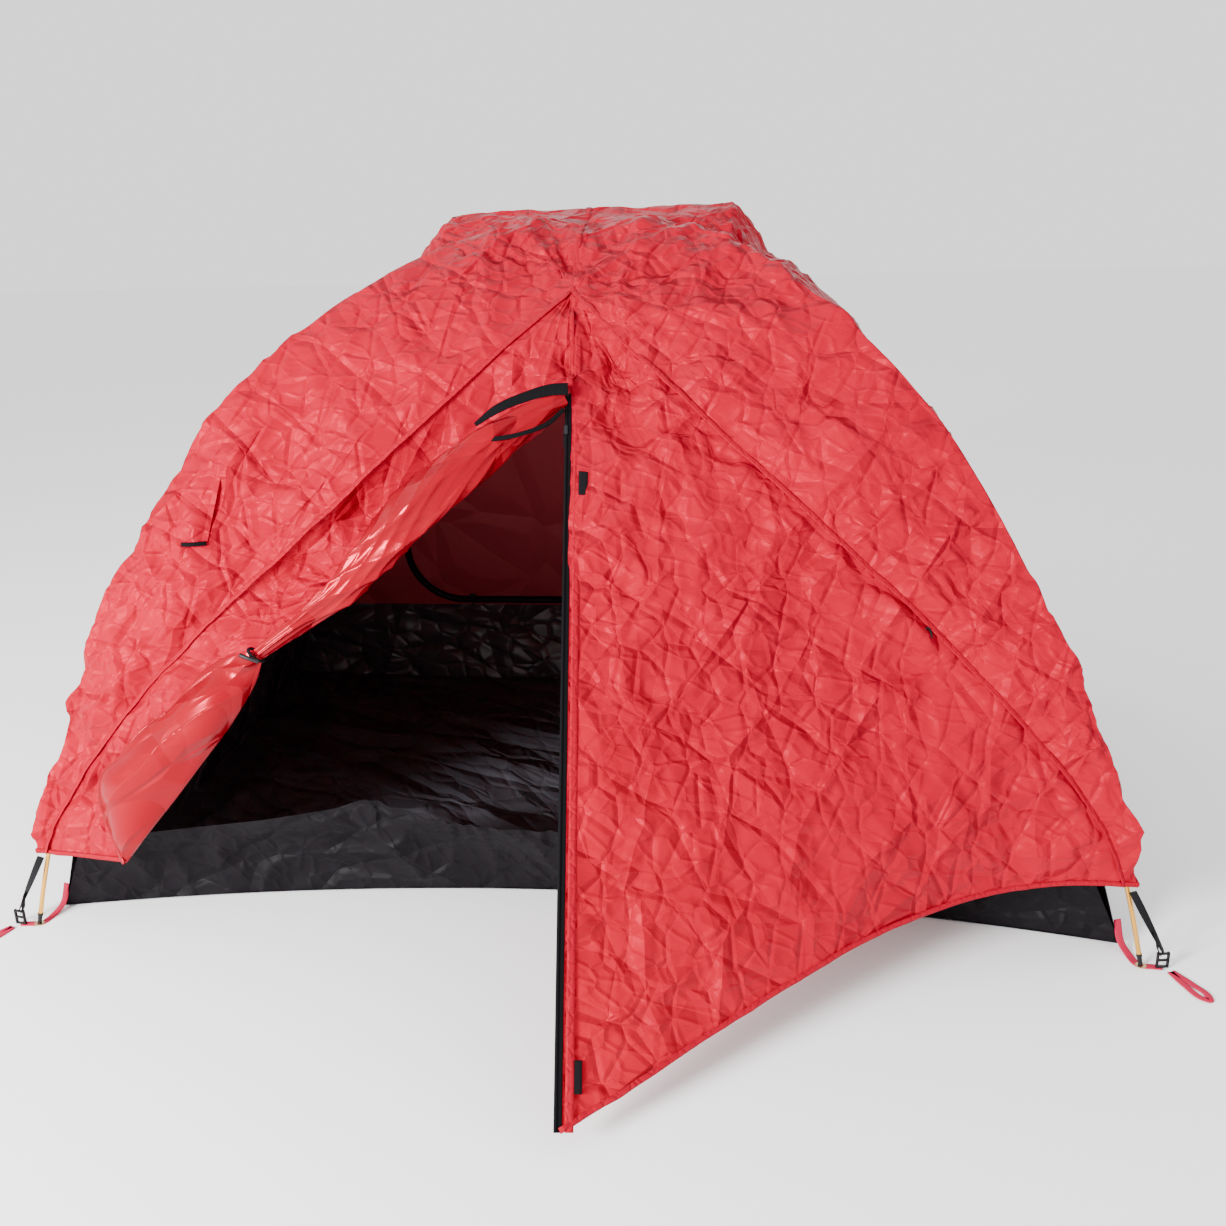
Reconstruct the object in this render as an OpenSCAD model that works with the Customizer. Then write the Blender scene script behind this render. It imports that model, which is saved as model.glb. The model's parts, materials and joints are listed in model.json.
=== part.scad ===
// Dome tent with a front porch: two crossing poles, a short ridge pole, a fly and an inner room.
// The origin is the middle of the four pole feet on the ground. -Y is the front, +Z is up.

/* [Tent] */
// Distance between pole feet, left to right
tent_w = 2050; // [1500:10:2700]
// Distance between pole feet, front to back
tent_d = 1450; // [1000:10:2000]
// Height of the pole crossing
pole_top = 1262; // [950:2:1600]
// How far the porch reaches in front of the pole feet
porch_reach = 527; // [350:1:800]
// Side shift of the porch tip
porch_shift = 75; // [0:1:150]

/* [Poles] */
// Outer diameter of a pole
pole_d = 8.5; // [7:0.1:11]
// Wall of a pole tube
pole_wall = 0.7; // [0.5:0.05:1.2]
// Sections in one main pole
pole_sections = 7; // [7]
// Clearance between a pole tube and what slides inside it
pole_fit = 0.2; // [0.15:0.05:0.4]
// Length of an insert that joins two sections
insert_len = 70; // [40:1:100]
// Diameter of the elastic cord
cord_d = 2.8; // [2:0.1:3.5]
// Angle from upright at which the top bend ends
bend_end = 54; // [48:1:60]
// Angle from level at which a leg meets the ground
foot_lean = 77; // [72:1:82]
// Length of a pole tip below its tube
tip_len = 24; // [16:1:32]
// Half length of the ridge pole
ridge_half = 282; // [200:1:340]
// Length of a pole clip
clip_w = 14; // [8:1:24]
// Wall of a pole clip
clip_wall = 1.2; // [1:0.1:2]
// Clearance between a pole and its clip
clip_play = 0.3; // [0.2:0.05:0.5]
// Clips on one leg of a pole
clips_per_leg = 5; // [3:6]

/* [Fly] */
// Clearance between a pole clip and the inside of the fly
fly_clear = 3.85; // [3:0.05:12]
// Thickness that stands for the fly fabric
fly_t = 1.6; // [1.2:0.1:2.5]
// Height of the fly hem at a corner
hem_z = 150; // [80:5:220]
// Drop from the crossing to where the door seams part
split_drop = 112; // [80:2:160]
// Gap left between two fly panels
seam_gap = 4; // [3:0.5:8]
// Fall of the roof in front of the ridge pole
ridge_fall = 0.52; // [0.4:0.02:0.7]
// Fall of the roof past the end of the ridge pole
ridge_end_fall = 1.2; // [0.9:0.05:1.6]
// Share of the zip line that stays closed above the door
zip_top_share = 0.16; // [0.1:0.01:0.25]

/* [Porch door] */
// Width of the zip tape
tape_w = 14; // [10:1:20]
// Diameter of the zip coil
coil_d = 3; // [2:0.1:4]
// Clearance around the zip coil inside the slider
slider_fit = 0.5; // [0.3:0.05:0.8]
// Radius of the rolled door at its thickest
roll_r = 36; // [25:1:48]

/* [Inner room] */
// Gap from the pole centre to the inner walls
inner_gap = 38; // [30:1:60]
// Thickness that stands for the inner fabric
inner_t = 1.2; // [0.8:0.1:2]
// Height of the tub wall
tub_h = 220; // [120:5:300]
// Height of the tub wall at a front corner
tub_corner_h = 150; // [100:5:200]
// Inset of the floor corner from the pole foot, left to right
floor_inset_x = 18; // [12:1:60]
// Inset of the floor corner from the pole foot, front to back
floor_inset_y = 62; // [40:1:90]
// Depth that the front floor edge bows back
front_bow = 120; // [60:5:160]
// Depth that the other floor edges bow in
side_bow = 35; // [10:5:60]
// Left edge of the back door
door_left = -630; // [-700:5:-400]
// Hinge edge of the back door
door_hinge = 230; // [150:5:300]
// Height of the back door above its sill
door_h = 640; // [450:5:720]
// Gap around the back door
door_gap = 4; // [3:0.5:8]

/* [Corners] */
// Width of the corner webbing
web_w = 15; // [12:1:20]
// Thickness of the webbing
web_t = 1.6; // [1.2:0.1:2]
// Inner radius of the corner eyelet
eyelet_r = 4.6; // [4:0.1:5]
// Length of a peg loop
peg_loop_len = 92; // [70:1:120]

/* [Hidden] */
$fn = 32;

// ---- pole arch: a top bend and two lower bends, tangent to each other ----
half_diag = norm([tent_w, tent_d]) / 2;
ux = tent_w / 2 / half_diag;
uy = tent_d / 2 / half_diag;
m11 = sin(bend_end);
m12 = sin(foot_lean) - sin(bend_end);
m21 = 1 - cos(bend_end);
m22 = cos(bend_end) - cos(foot_lean);
det = m11 * m22 - m12 * m21;
pole_lift = pole_d + 1.4;
ridge_z = pole_top + pole_lift + pole_d + 3;
clip_r = pole_d / 2 + clip_play + clip_wall;
// The fly panels stand flat in front of a pole, so their gap along the diagonal is wider
fly_gap = (clip_r + fly_clear + fly_t / 2) / uy;
// Bend radii [top, lower] of an arch that peaks at height h
function bend_radii(h) = [(half_diag * m22 - m12 * h) / det, (m11 * h - m21 * half_diag) / det];
radii = bend_radii(pole_top);
top_cz = pole_top - radii[0];
low_cx = (radii[0] - radii[1]) * sin(bend_end);
low_cz = top_cz + (radii[0] - radii[1]) * cos(bend_end);
// Distance from the centre line to the leg surface at height z, pushed out by g
function leg_r(z, g) =
  z > top_cz + (radii[0] + g) * cos(bend_end)
    ? sqrt(max(1, pow(radii[0] + g, 2) - pow(z - top_cz, 2)))
    : low_cx + sqrt(pow(radii[1] + g, 2) - pow(z - low_cz, 2));
// Height of the ruled dome over a point, pushed out by g
function dome_z(x, y, g) = top_cz + sqrt(pow(radii[0] + g, 2) - pow(max(abs(x) / ux, abs(y) / uy), 2));
function arc_len(r) = [r[0] * bend_end, r[1] * (foot_lean - bend_end)] * PI / 180;
// Lean angle at distance s along the pole from its middle
function lean_at(s, r) =
  abs(s) < arc_len(r)[0]
    ? s / r[0] * 180 / PI
    : sign(s) * (bend_end + (abs(s) - arc_len(r)[0]) / r[1] * 180 / PI);
function half_len(r) = arc_len(r)[0] + arc_len(r)[1] - tip_len;
// Point at lean angle f in the arch plane
function arch_pt(f, r, h) =
  abs(f) <= bend_end
    ? [r[0] * sin(f), 0, h - r[0] * (1 - cos(f))]
    : [sign(f) * ((r[0] - r[1]) * sin(bend_end) + r[1] * sin(abs(f))), 0,
       h - r[0] + (r[0] - r[1]) * cos(bend_end) + r[1] * cos(f)];
a_top = pole_top;
b_top = pole_top + pole_lift;
plan_turn = atan2(tent_d, tent_w);

// ---- small vector helpers ----
function lerp(a, b, t) = a + (b - a) * t;
function unit(v) = v / max(norm(v), 0.000001);
function bezier(p, t) =
  p[0] * pow(1 - t, 3) + p[1] * 3 * t * pow(1 - t, 2) + p[2] * 3 * t * t * (1 - t) + p[3] * pow(t, 3);

// ---- driving points of the fly ----
split_z = pole_top - split_drop;
function front_pt(x, z, g) = [x, -leg_r(z, g) * uy, z];
function side_pt(y, z, g) = [leg_r(z, g) * ux, y, z];
split_pt = front_pt(0, split_z, fly_gap);
tip_pt = [porch_shift, -tent_d / 2 - porch_reach, 39];
zip_top = lerp(split_pt, tip_pt, zip_top_share);
seam_end_x = leg_r(hem_z, fly_gap) * ux - 22;
// The door seam, drawn in the front view: [x, z]
seam_xz = [[0, split_z], [0.45 * seam_end_x, hem_z + 0.61 * (split_z - hem_z)],
           [0.93 * seam_end_x, hem_z + 0.25 * (split_z - hem_z)], [seam_end_x, hem_z]];
function seam_pt(t, dx) = front_pt(bezier(seam_xz, t)[0] + dx, bezier(seam_xz, t)[1], fly_gap);
corner_pt = seam_pt(1, -seam_gap);
left_corner = [-corner_pt[0], corner_pt[1], corner_pt[2]];
tie_pt = [-0.56 * corner_pt[0], corner_pt[1] + 60, hem_z + 0.39 * (split_z - hem_z)];
flap_pt = [-0.84 * corner_pt[0], corner_pt[1] - 10, hem_z - 12];
// The porch door hem from the corner to the tip
hem_curve = [corner_pt, corner_pt + [-350, 15, 8], [0.43 * corner_pt[0], corner_pt[1] - 250, 100], tip_pt];
zip_dir = unit(tip_pt - zip_top);
zip_len = norm(tip_pt - zip_top);
ridge_tip = ridge_z + pole_d / 2 + 8;

// ---- sheets: a grid of points made into a closed skin of thickness t ----
function cell(g, i, j) = g[max(0, min(len(g) - 1, i))][max(0, min(len(g[0]) - 1, j))];
function grid_normal(g, i, j) =
  unit(cross(cell(g, i + 1, j) - cell(g, i - 1, j), cell(g, i, j + 1) - cell(g, i, j - 1)));
function quad(a, b, c, d) = [[a, b, c], [a, c, d]];
// With crest on, the diagonals turn over between quarters so that they run along the crests of a roof
module sheet(g, t, crest = false) {
  n = len(g);
  m = len(g[0]);
  k = n * m;
  upper = [for (i = [0 : n - 1]) for (j = [0 : m - 1]) g[i][j] + grid_normal(g, i, j) * t / 2];
  lower = [for (i = [0 : n - 1]) for (j = [0 : m - 1]) g[i][j] - grid_normal(g, i, j) * t / 2];
  skins = [for (i = [0 : n - 2]) for (j = [0 : m - 2])
    let (a = i * m + j, b = a + 1, c = a + m + 1, d = a + m)
    each crest && (i < (n - 1) / 2) != (j < (m - 1) / 2)
      ? concat(quad(b, c, d, a), quad(k + d, k + c, k + b, k + a))
      : concat(quad(a, b, c, d), quad(k + a, k + d, k + c, k + b))];
  rims_j = [for (j = [0 : m - 2])
    each concat(
      quad(j + 1, j, k + j, k + j + 1),
      quad((n - 1) * m + j, (n - 1) * m + j + 1, k + (n - 1) * m + j + 1, k + (n - 1) * m + j))];
  rims_i = [for (i = [0 : n - 2])
    each concat(
      quad(i * m, i * m + m, k + i * m + m, k + i * m),
      quad(i * m + m - 1 + m, i * m + m - 1, k + i * m + m - 1, k + i * m + m - 1 + m))];
  polyhedron(points = concat(upper, lower), faces = concat(skins, rims_j, rims_i));
}
// A round body swept through rings [centre, radius]
module sweep(path, sides) {
  n = len(path);
  ring = [for (i = [0 : n - 1])
    let (d = unit(path[min(n - 1, i + 1)][0] - path[max(0, i - 1)][0]),
         a = unit(cross(d, [0, 0, 1])), b = cross(d, a))
    for (k = [0 : sides - 1])
      path[i][0] + path[i][1] * (a * cos(k * 360 / sides) + b * sin(k * 360 / sides))];
  walls = [for (i = [0 : n - 2]) for (k = [0 : sides - 1])
    let (k1 = (k + 1) % sides, p = i * sides, q = p + sides) each quad(q + k, q + k1, p + k1, p + k)];
  caps = [[for (k = [0 : sides - 1]) k], [for (k = [sides - 1 : -1 : 0]) (n - 1) * sides + k]];
  polyhedron(points = ring, faces = concat(walls, caps));
}
// Children drawn along +X are turned to run from p towards q
module along(p, q) {
  d = q - p;
  translate(p) rotate([0, -atan2(d[2], norm([d[0], d[1]])), atan2(d[1], d[0])]) children();
}
module four_corners() {
  for (sx = [0, 1]) for (sy = [0, 1]) mirror([sx, 0, 0]) mirror([0, sy, 0])
    translate([tent_w / 2, -tent_d / 2, 0]) children();
}

// ---- poles ----
ring_step = 40;
// Ring of points around the arch centre line at distance s from its middle
function arch_ring(s, r, h, radius, sides) =
  let (f = lean_at(s, r), c = arch_pt(f, r, h), out = [sin(f), 0, cos(f)])
    [for (k = [0 : sides - 1]) c + radius * (out * cos(k * 360 / sides) + [0, 1, 0] * sin(k * 360 / sides))];
// Walls between two rings of points that start at numbers p and q
function ring_walls(p, q, sides) = [for (k = [0 : sides - 1])
  let (k1 = (k + 1) % sides) each quad(p + k, q + k, q + k1, p + k1)];
// Stretch of an arch of height h between distances s0 and s1 from its middle, solid when d_in is 0
module arch_stretch(h, s0, s1, d_out, d_in, sides = 12) {
  r = bend_radii(h);
  n = ceil((s1 - s0) / ring_step);
  k = (n + 1) * sides;
  outer = [for (i = [0 : n]) each arch_ring(lerp(s0, s1, i / n), r, h, d_out / 2, sides)];
  outer_walls = [for (i = [0 : n - 1]) each ring_walls((i + 1) * sides, i * sides, sides)];
  if (d_in > 0) {
    inner = [for (i = [0 : n]) each arch_ring(lerp(s0, s1, i / n), r, h, d_in / 2, sides)];
    inner_walls = [for (i = [0 : n - 1]) each ring_walls(k + i * sides, k + (i + 1) * sides, sides)];
    ends = concat(ring_walls(0, k, sides), ring_walls(k + n * sides, n * sides, sides));
    polyhedron(points = concat(outer, inner), faces = concat(outer_walls, inner_walls, ends));
  } else {
    caps = [[for (j = [sides - 1 : -1 : 0]) j], [for (j = [0 : sides - 1]) n * sides + j]];
    polyhedron(points = outer, faces = concat(outer_walls, caps));
  }
}
function joint_at(i, h) = half_len(bend_radii(h)) * (2 * i / pole_sections - 1);
tube_id = pole_d - 2 * pole_wall;
insert_d = tube_id - 2 * pole_fit;
cord_hole = cord_d + 1.2;
module pole_section(h, i) {
  color("goldenrod") arch_stretch(h, joint_at(i, h), joint_at(i + 1, h), pole_d, tube_id);
}
module pole_insert(h, s) { arch_stretch(h, s - insert_len / 2, s + insert_len / 2, insert_d, cord_hole); }
module pole_inserts() {
  color("silver") {
    for (i = [1 : pole_sections - 1]) {
      rotate([0, 0, plan_turn]) pole_insert(a_top, joint_at(i, a_top));
      rotate([0, 0, -plan_turn]) pole_insert(b_top, joint_at(i, b_top));
    }
    along([-insert_len / 2, 0, ridge_z], [insert_len / 2, 0, ridge_z]) rotate([0, 90, 0]) difference() {
      cylinder(h = insert_len, d = insert_d);
      translate([0, 0, -1]) cylinder(h = insert_len + 2, d = cord_hole);
    }
  }
}
plug_len = 18;
module pole_cords() {
  color("black") {
    ea = half_len(bend_radii(a_top)) - plug_len;
    eb = half_len(bend_radii(b_top)) - plug_len;
    rotate([0, 0, plan_turn]) arch_stretch(a_top, -ea, ea, cord_d, 0, 6);
    rotate([0, 0, -plan_turn]) arch_stretch(b_top, -eb, eb, cord_d, 0, 6);
    translate([-ridge_half + plug_len, 0, ridge_z]) rotate([0, 90, 0])
      cylinder(h = 2 * (ridge_half - plug_len), d = cord_d);
  }
}
// One tip: a plug in the tube, a collar against it and a tapered point in the eyelet
module pole_tip() {
  cylinder(h = plug_len, d = insert_d);
  translate([0, 0, -5]) cylinder(h = 5, d = pole_d + 1.5);
  translate([0, 0, -tip_len + 4]) cylinder(h = tip_len - 9, d1 = 2 * eyelet_r - 1.8, d2 = pole_d);
  translate([0, 0, -tip_len + 4]) sphere(d = 2 * eyelet_r - 1.8);
}
module arch_tips(h) {
  r = bend_radii(h);
  f = lean_at(half_len(r), r);
  for (s = [-1, 1]) translate(arch_pt(s * f, r, h)) rotate([0, s * (f - 90), 0]) pole_tip();
}
module pole_tips() {
  color("dimgray") {
    rotate([0, 0, plan_turn]) arch_tips(a_top);
    rotate([0, 0, -plan_turn]) arch_tips(b_top);
  }
}
module ridge_pole() {
  color("goldenrod") for (s = [0, 1]) mirror([s, 0, 0])
    translate([0, 0, ridge_z]) rotate([0, 90, 0]) difference() {
      cylinder(h = ridge_half, d = pole_d);
      translate([0, 0, -1]) cylinder(h = ridge_half + 2, d = tube_id);
    }
}
module ridge_pole_ends() {
  color("dimgray") for (s = [0, 1]) mirror([s, 0, 0])
    translate([ridge_half, 0, ridge_z]) rotate([0, 90, 0]) {
      translate([0, 0, -plug_len]) cylinder(h = plug_len, d = insert_d);
      cylinder(h = 6, d = pole_d + 2);
      translate([0, 0, 6]) sphere(d = pole_d + 2);
    }
}
clip_bore = pole_d + 2 * clip_play;
// The clip holds both poles and the ridge pole from the side, with a lug down to the inner roof
hub_d = 26;
lug_d = 12;
module crossing_clip() {
  foot_z = pole_top - inner_gap;
  color("black") difference() {
    union() {
      translate([0, 0, foot_z + crown_h + inner_t + 0.5]) cylinder(h = lug_d, d = lug_d);
      translate([0, 0, foot_z + lug_d]) cylinder(h = ridge_z + 7 - foot_z - lug_d, d = hub_d);
    }
    rotate([0, 0, plan_turn]) arch_stretch(a_top, -60, 60, clip_bore, 0);
    rotate([0, 0, -plan_turn]) arch_stretch(b_top, -60, 60, clip_bore, 0);
    translate([-60, 0, ridge_z]) rotate([0, 90, 0]) cylinder(h = 120, d = clip_bore);
  }
}
module arch_clips(h) {
  r = bend_radii(h);
  tab = inner_gap - 8 - pole_d / 2 - clip_play - 0.5;
  for (s = [-1, 1]) for (i = [1 : clips_per_leg]) {
    f = s * foot_lean * (0.14 + 0.76 * i / clips_per_leg);
    translate(arch_pt(f, r, h)) rotate([0, f, 0]) {
      rotate([0, 90, 0]) translate([0, 0, -clip_w / 2]) difference() {
        cylinder(h = clip_w, r = clip_r);
        translate([0, 0, -1]) cylinder(h = clip_w + 2, d = clip_bore);
        translate([-pole_d * 1.5, -pole_d * 0.3, -1]) cube([pole_d * 1.5, pole_d * 0.6, clip_w + 2]);
      }
      translate([-clip_w / 2, -1, -inner_gap + 8]) cube([clip_w, 2, tab]);
    }
  }
}
module pole_clips() {
  color("black") {
    rotate([0, 0, plan_turn]) arch_clips(a_top);
    rotate([0, 0, -plan_turn]) arch_clips(b_top);
  }
}

// ---- floor and tub walls ----
floor_x = tent_w / 2 - floor_inset_x;
floor_y = tent_d / 2 - floor_inset_y;
floor_t = 3;
steps = 12;
function front_edge_y(x) = -floor_y + front_bow * (1 - pow(x / floor_x, 2));
function back_edge_y(x) = floor_y - side_bow * (1 - pow(x / floor_x, 2));
function side_edge_x(y) = floor_x - side_bow * (1 - pow(y / floor_y, 2));
module groundsheet() {
  color("dimgray") linear_extrude(floor_t) polygon(concat(
    [for (i = [0 : steps]) let (x = floor_x * (2 * i / steps - 1)) [x, front_edge_y(x)]],
    [for (i = [1 : steps - 1]) let (y = floor_y * (2 * i / steps - 1)) [side_edge_x(y), y]],
    [for (i = [0 : steps]) let (x = floor_x * (1 - 2 * i / steps)) [x, back_edge_y(x)]],
    [for (i = [1 : steps - 1]) let (y = floor_y * (1 - 2 * i / steps)) [-side_edge_x(y), y]]));
}
tub_r = leg_r(tub_h, -inner_gap);
tub_low = floor_t + 1;
tub_rows = 3;
trim = 3;
function tub_top_z(u) = tub_corner_h + (tub_h - tub_corner_h) * (1 - pow(u, 4));
module tub_front() {
  color("darkslategray") sheet([for (i = [0 : tub_rows]) [for (j = [0 : steps])
    let (u = 2 * j / steps - 1, x = (floor_x - 12) * u)
      lerp([x, front_edge_y(x) + 2, tub_low],
           [(tub_r * ux - trim) * u, -leg_r(tub_top_z(u), -inner_gap) * uy + 0.5 * front_bow * (1 - u * u),
            tub_top_z(u)], i / tub_rows)]], inner_t);
}
module tub_back() {
  color("darkslategray") sheet([for (i = [0 : tub_rows]) [for (j = [0 : steps])
    let (u = 1 - 2 * j / steps, x = (floor_x - 12) * u)
      lerp([x, back_edge_y(x) - 2, tub_low], [(tub_r * ux - trim) * u, tub_r * uy, tub_h],
           i / tub_rows)]], inner_t);
}
module tub_side() {
  sheet([for (i = [0 : tub_rows]) [for (j = [0 : steps])
    let (u = 2 * j / steps - 1, y = (floor_y - 8) * u)
      lerp([side_edge_x(y) - 2, y, tub_low], [tub_r * ux, (tub_r * uy - trim - 3) * u, tub_h],
           i / tub_rows)]], inner_t);
}
module tub_right() { color("darkslategray") tub_side(); }
module tub_left() { color("darkslategray") mirror([1, 0, 0]) tub_side(); }

// ---- inner walls ----
inner_top = pole_top - 130;
inner_low = tub_h + 4;
rows = 10;
function level(i, n, z0, z1) = z0 + (z1 - z0) * i / n;
// A wall between two legs, from height z0 to z1, k columns wide
function front_grid(z0, z1, g, n, k, edge) =
  [for (i = [0 : n]) let (z = level(i, n, z0, z1), w = leg_r(z, g) * ux - edge)
    [for (j = [0 : k]) front_pt(w * (2 * j / k - 1), z, g)]];
function side_grid(z0, z1, g, n, k, edge) =
  [for (i = [0 : n]) let (z = level(i, n, z0, z1), w = leg_r(z, g) * uy - edge)
    [for (j = [0 : k]) side_pt(w * (2 * j / k - 1), z, g)]];
function leg_x_in(z) = leg_r(z, -inner_gap) * ux;
arch_margin = 70;
arch_top = inner_top - 90;
arch_pts = concat(
  [for (i = [0 : 8]) let (z = level(i, 8, inner_low - 30, arch_top - 60)) [leg_x_in(z) - arch_margin, z]],
  [for (k = [1, -1]) [k * (leg_x_in(arch_top) - arch_margin - 60), arch_top]],
  [for (i = [8 : -1 : 0]) let (z = level(i, 8, inner_low - 30, arch_top - 60))
    [-leg_x_in(z) + arch_margin, z]]);
module inner_front() {
  color("firebrick") difference() {
    sheet(front_grid(inner_low, inner_top, -inner_gap, rows, 8, trim), inner_t);
    translate([0, -200, 0]) rotate([90, 0, 0]) linear_extrude(tent_d) polygon(arch_pts);
  }
}
door_sill = inner_low + 14;
door_top = door_sill + door_h;
door_corner = 150;
// Outline of the back door in the back view, shrunk by s: straight hinge side, rounded far side
module door_outline(s) {
  w = door_hinge - door_left;
  intersection() {
    translate([door_left + s, door_sill + s]) square([w - 2 * s, door_h - 2 * s]);
    union() {
      translate([door_left + door_corner, door_sill + door_corner]) circle(r = door_corner - s, $fn = 64);
      translate([door_left + door_h * 0.55, door_top - door_h * 0.55])
        circle(r = door_h * 0.55 - s, $fn = 96);
      translate([door_left + door_corner, door_sill + s]) square([w, door_corner]);
      translate([door_left + s, door_sill + door_corner]) square([w, door_h * 0.45 - door_corner]);
      translate([door_left + door_h * 0.55, door_sill]) square([w, door_h]);
    }
  }
}
module back_prism(s) {
  rotate([90, 0, 0]) translate([0, 0, -tent_d]) linear_extrude(tent_d) door_outline(s);
}
module back_sheet() {
  mirror([0, 1, 0]) mirror([1, 0, 0])
    sheet(front_grid(inner_low, inner_top, -inner_gap, rows, 8, trim), inner_t);
}
module inner_back() {
  color("firebrick") difference() {
    back_sheet();
    back_prism(0);
  }
}
module back_door() {
  color("indianred") intersection() {
    back_sheet();
    back_prism(door_gap);
  }
}
rail_z0 = door_sill + door_gap + 9;
rail_y = leg_r(rail_z0, -inner_gap) * uy - inner_t / 2 - 2;
rail_x0 = door_left + door_corner + 10;
rail_x1 = door_hinge - 60;
// The zip runs level along the bottom edge of the back door, on its inner face
module back_door_zip() {
  color("black") {
    translate([rail_x0, rail_y - 0.4 - 1.2, rail_z0 - 5]) cube([rail_x1 - rail_x0, 1.2, 10]);
    translate([rail_x0, rail_y - 1.6 - coil_d / 2, rail_z0]) rotate([0, 90, 0])
      cylinder(h = rail_x1 - rail_x0, d = coil_d, $fn = 16);
  }
}
// A slider drawn around a coil that runs along +X, with its pull hanging on the +Y side
module slider_block(drop) {
  d = coil_d + 2 * slider_fit;
  difference() {
    translate([-9, -d / 2 - 1.4, -5]) cube([18, d / 2 + 1.4 + 0.6, 10]);
    translate([-12, 0, 0]) rotate([0, 90, 0]) cylinder(h = 24, d = d, $fn = 16);
    translate([-12, -0.01, -7]) cube([24, d, 14]);
  }
  translate([-2.5, -d / 2 - 3.6, -4 - drop]) cube([5, 1.6, 6 + drop]);
  translate([-2.5, -d / 2 - 3.6, -2]) cube([5, 2.4, 4]);
}
module back_door_slider() {
  color("silver") translate([rail_x0 + 14, rail_y - 1.6 - coil_d / 2, rail_z0]) slider_block(24);
}
roll_inset = inner_gap + 52;
module front_door_roll() {
  color("indianred") sweep([for (i = [0 : 8])
    let (z = level(i, 8, inner_low + 60, inner_top - 120), r = leg_r(z, -roll_inset))
      [[r * ux - 24, -r * uy, z], 18 + 10 * sin(i * 180 / 8)]], 10);
}
module inner_side() {
  sheet(side_grid(inner_low, inner_top, -inner_gap, rows, 6, trim + 3), inner_t);
}
module inner_right() { color("firebrick") inner_side(); }
module inner_left() { color("firebrick") mirror([1, 0, 0]) inner_side(); }
crown_h = 4;
// Slight fullness of a roof panel, nothing at its rim
function crown(x, y, r) = crown_h * cos(90 * x / (r * ux)) * cos(90 * y / (r * uy));
module inner_roof() {
  r = leg_r(inner_top, -inner_gap) - 8;
  color("firebrick") sheet([for (j = [0 : 8]) [for (i = [0 : 8])
    let (x = r * ux * (2 * i / 8 - 1), y = r * uy * (2 * j / 8 - 1))
      [x, y, dome_z(x, y, -inner_gap) + crown(x, y, r)]]], inner_t, true);
}

// ---- fly panels ----
function roof_z(x, y) = max(dome_z(x, y, fly_gap),
  ridge_tip - ridge_fall * abs(y) - ridge_end_fall * max(0, abs(x) - ridge_half - 14));
roof_r = leg_r(split_z, fly_gap) - 8;
roof_cells = 15;
module fly_roof() {
  color("tomato") sheet([for (j = [-roof_cells : roof_cells]) [for (i = [-roof_cells : roof_cells])
    let (x = roof_r * ux * i / roof_cells, y = roof_r * uy * j / roof_cells)
      [x, y, roof_z(x, y) + crown(x, y, roof_r)]]], fly_t, true);
}
panel_rows = 20;
module fly_side() {
  sheet(side_grid(hem_z, split_z - seam_gap, fly_gap, panel_rows, 6, seam_gap), fly_t);
}
module fly_right() { color("tomato") fly_side(); }
module fly_left() { color("tomato") mirror([1, 0, 0]) fly_side(); }
module fly_back() {
  color("tomato") mirror([0, 1, 0]) mirror([1, 0, 0])
    sheet(front_grid(hem_z, split_z - seam_gap, fly_gap, panel_rows, 8, seam_gap), fly_t);
}
// The strip between the door seam and the leg
module fly_front() {
  sheet([for (i = [panel_rows : -1 : 0])
    let (t = 0.02 + 0.98 * i / panel_rows, s = seam_pt(t, seam_gap),
         w = leg_r(s[2], fly_gap) * ux - seam_gap)
      [for (j = [0 : 4]) [lerp(s[0], w, j / 4), s[1], s[2]]]], fly_t);
}
module fly_front_right() { color("tomato") fly_front(); }
module fly_front_left() { color("tomato") mirror([1, 0, 0]) fly_front(); }
// Path of the fold line: down the closed zip, then straight to the hem corner
zip_turn = 0.25;
function fold_pt(t) = t < zip_turn ? lerp(split_pt, zip_top, t / zip_turn)
                                   : lerp(zip_top, corner_pt, (t - zip_turn) / (1 - zip_turn));
function mirror_x(p) = [-p[0], p[1], p[2]];
function left_fold_pt(t) = t < zip_turn ? lerp(split_pt, zip_top, t / zip_turn)
  : t < 0.65 ? lerp(zip_top, tie_pt, (t - zip_turn) / (0.65 - zip_turn))
  : lerp(tie_pt, left_corner, (t - 0.65) / 0.35);
// Pull a point a distance g from a towards b
function pulled(a, b, g) = a + unit(b - a) * g;
gusset_rows = 12;
function gusset_t(i) = 0.07 + 0.85 * i / gusset_rows;
// Below the top of the zip the left gusset stays this much behind the rolled door
roll_room = 12;
module gusset_right() {
  color("tomato") sheet([for (i = [gusset_rows : -1 : 0])
    let (t = gusset_t(i), s = seam_pt(t, 0), k = fold_pt(t))
    [for (j = [0 : 4]) lerp(pulled(k, s, seam_gap / 2), s, j / 4)]], fly_t);
}
module gusset_left() {
  color("tomato") sheet([for (i = [0 : gusset_rows])
    let (t = gusset_t(i), s = mirror_x(seam_pt(t, 0)), k = left_fold_pt(t),
         edge = seam_gap / 2 + (t > 0.2 ? roll_room : 0))
      [for (j = [0 : 4]) lerp(pulled(k, s, edge), s, j / 4)]], fly_t);
}

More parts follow.
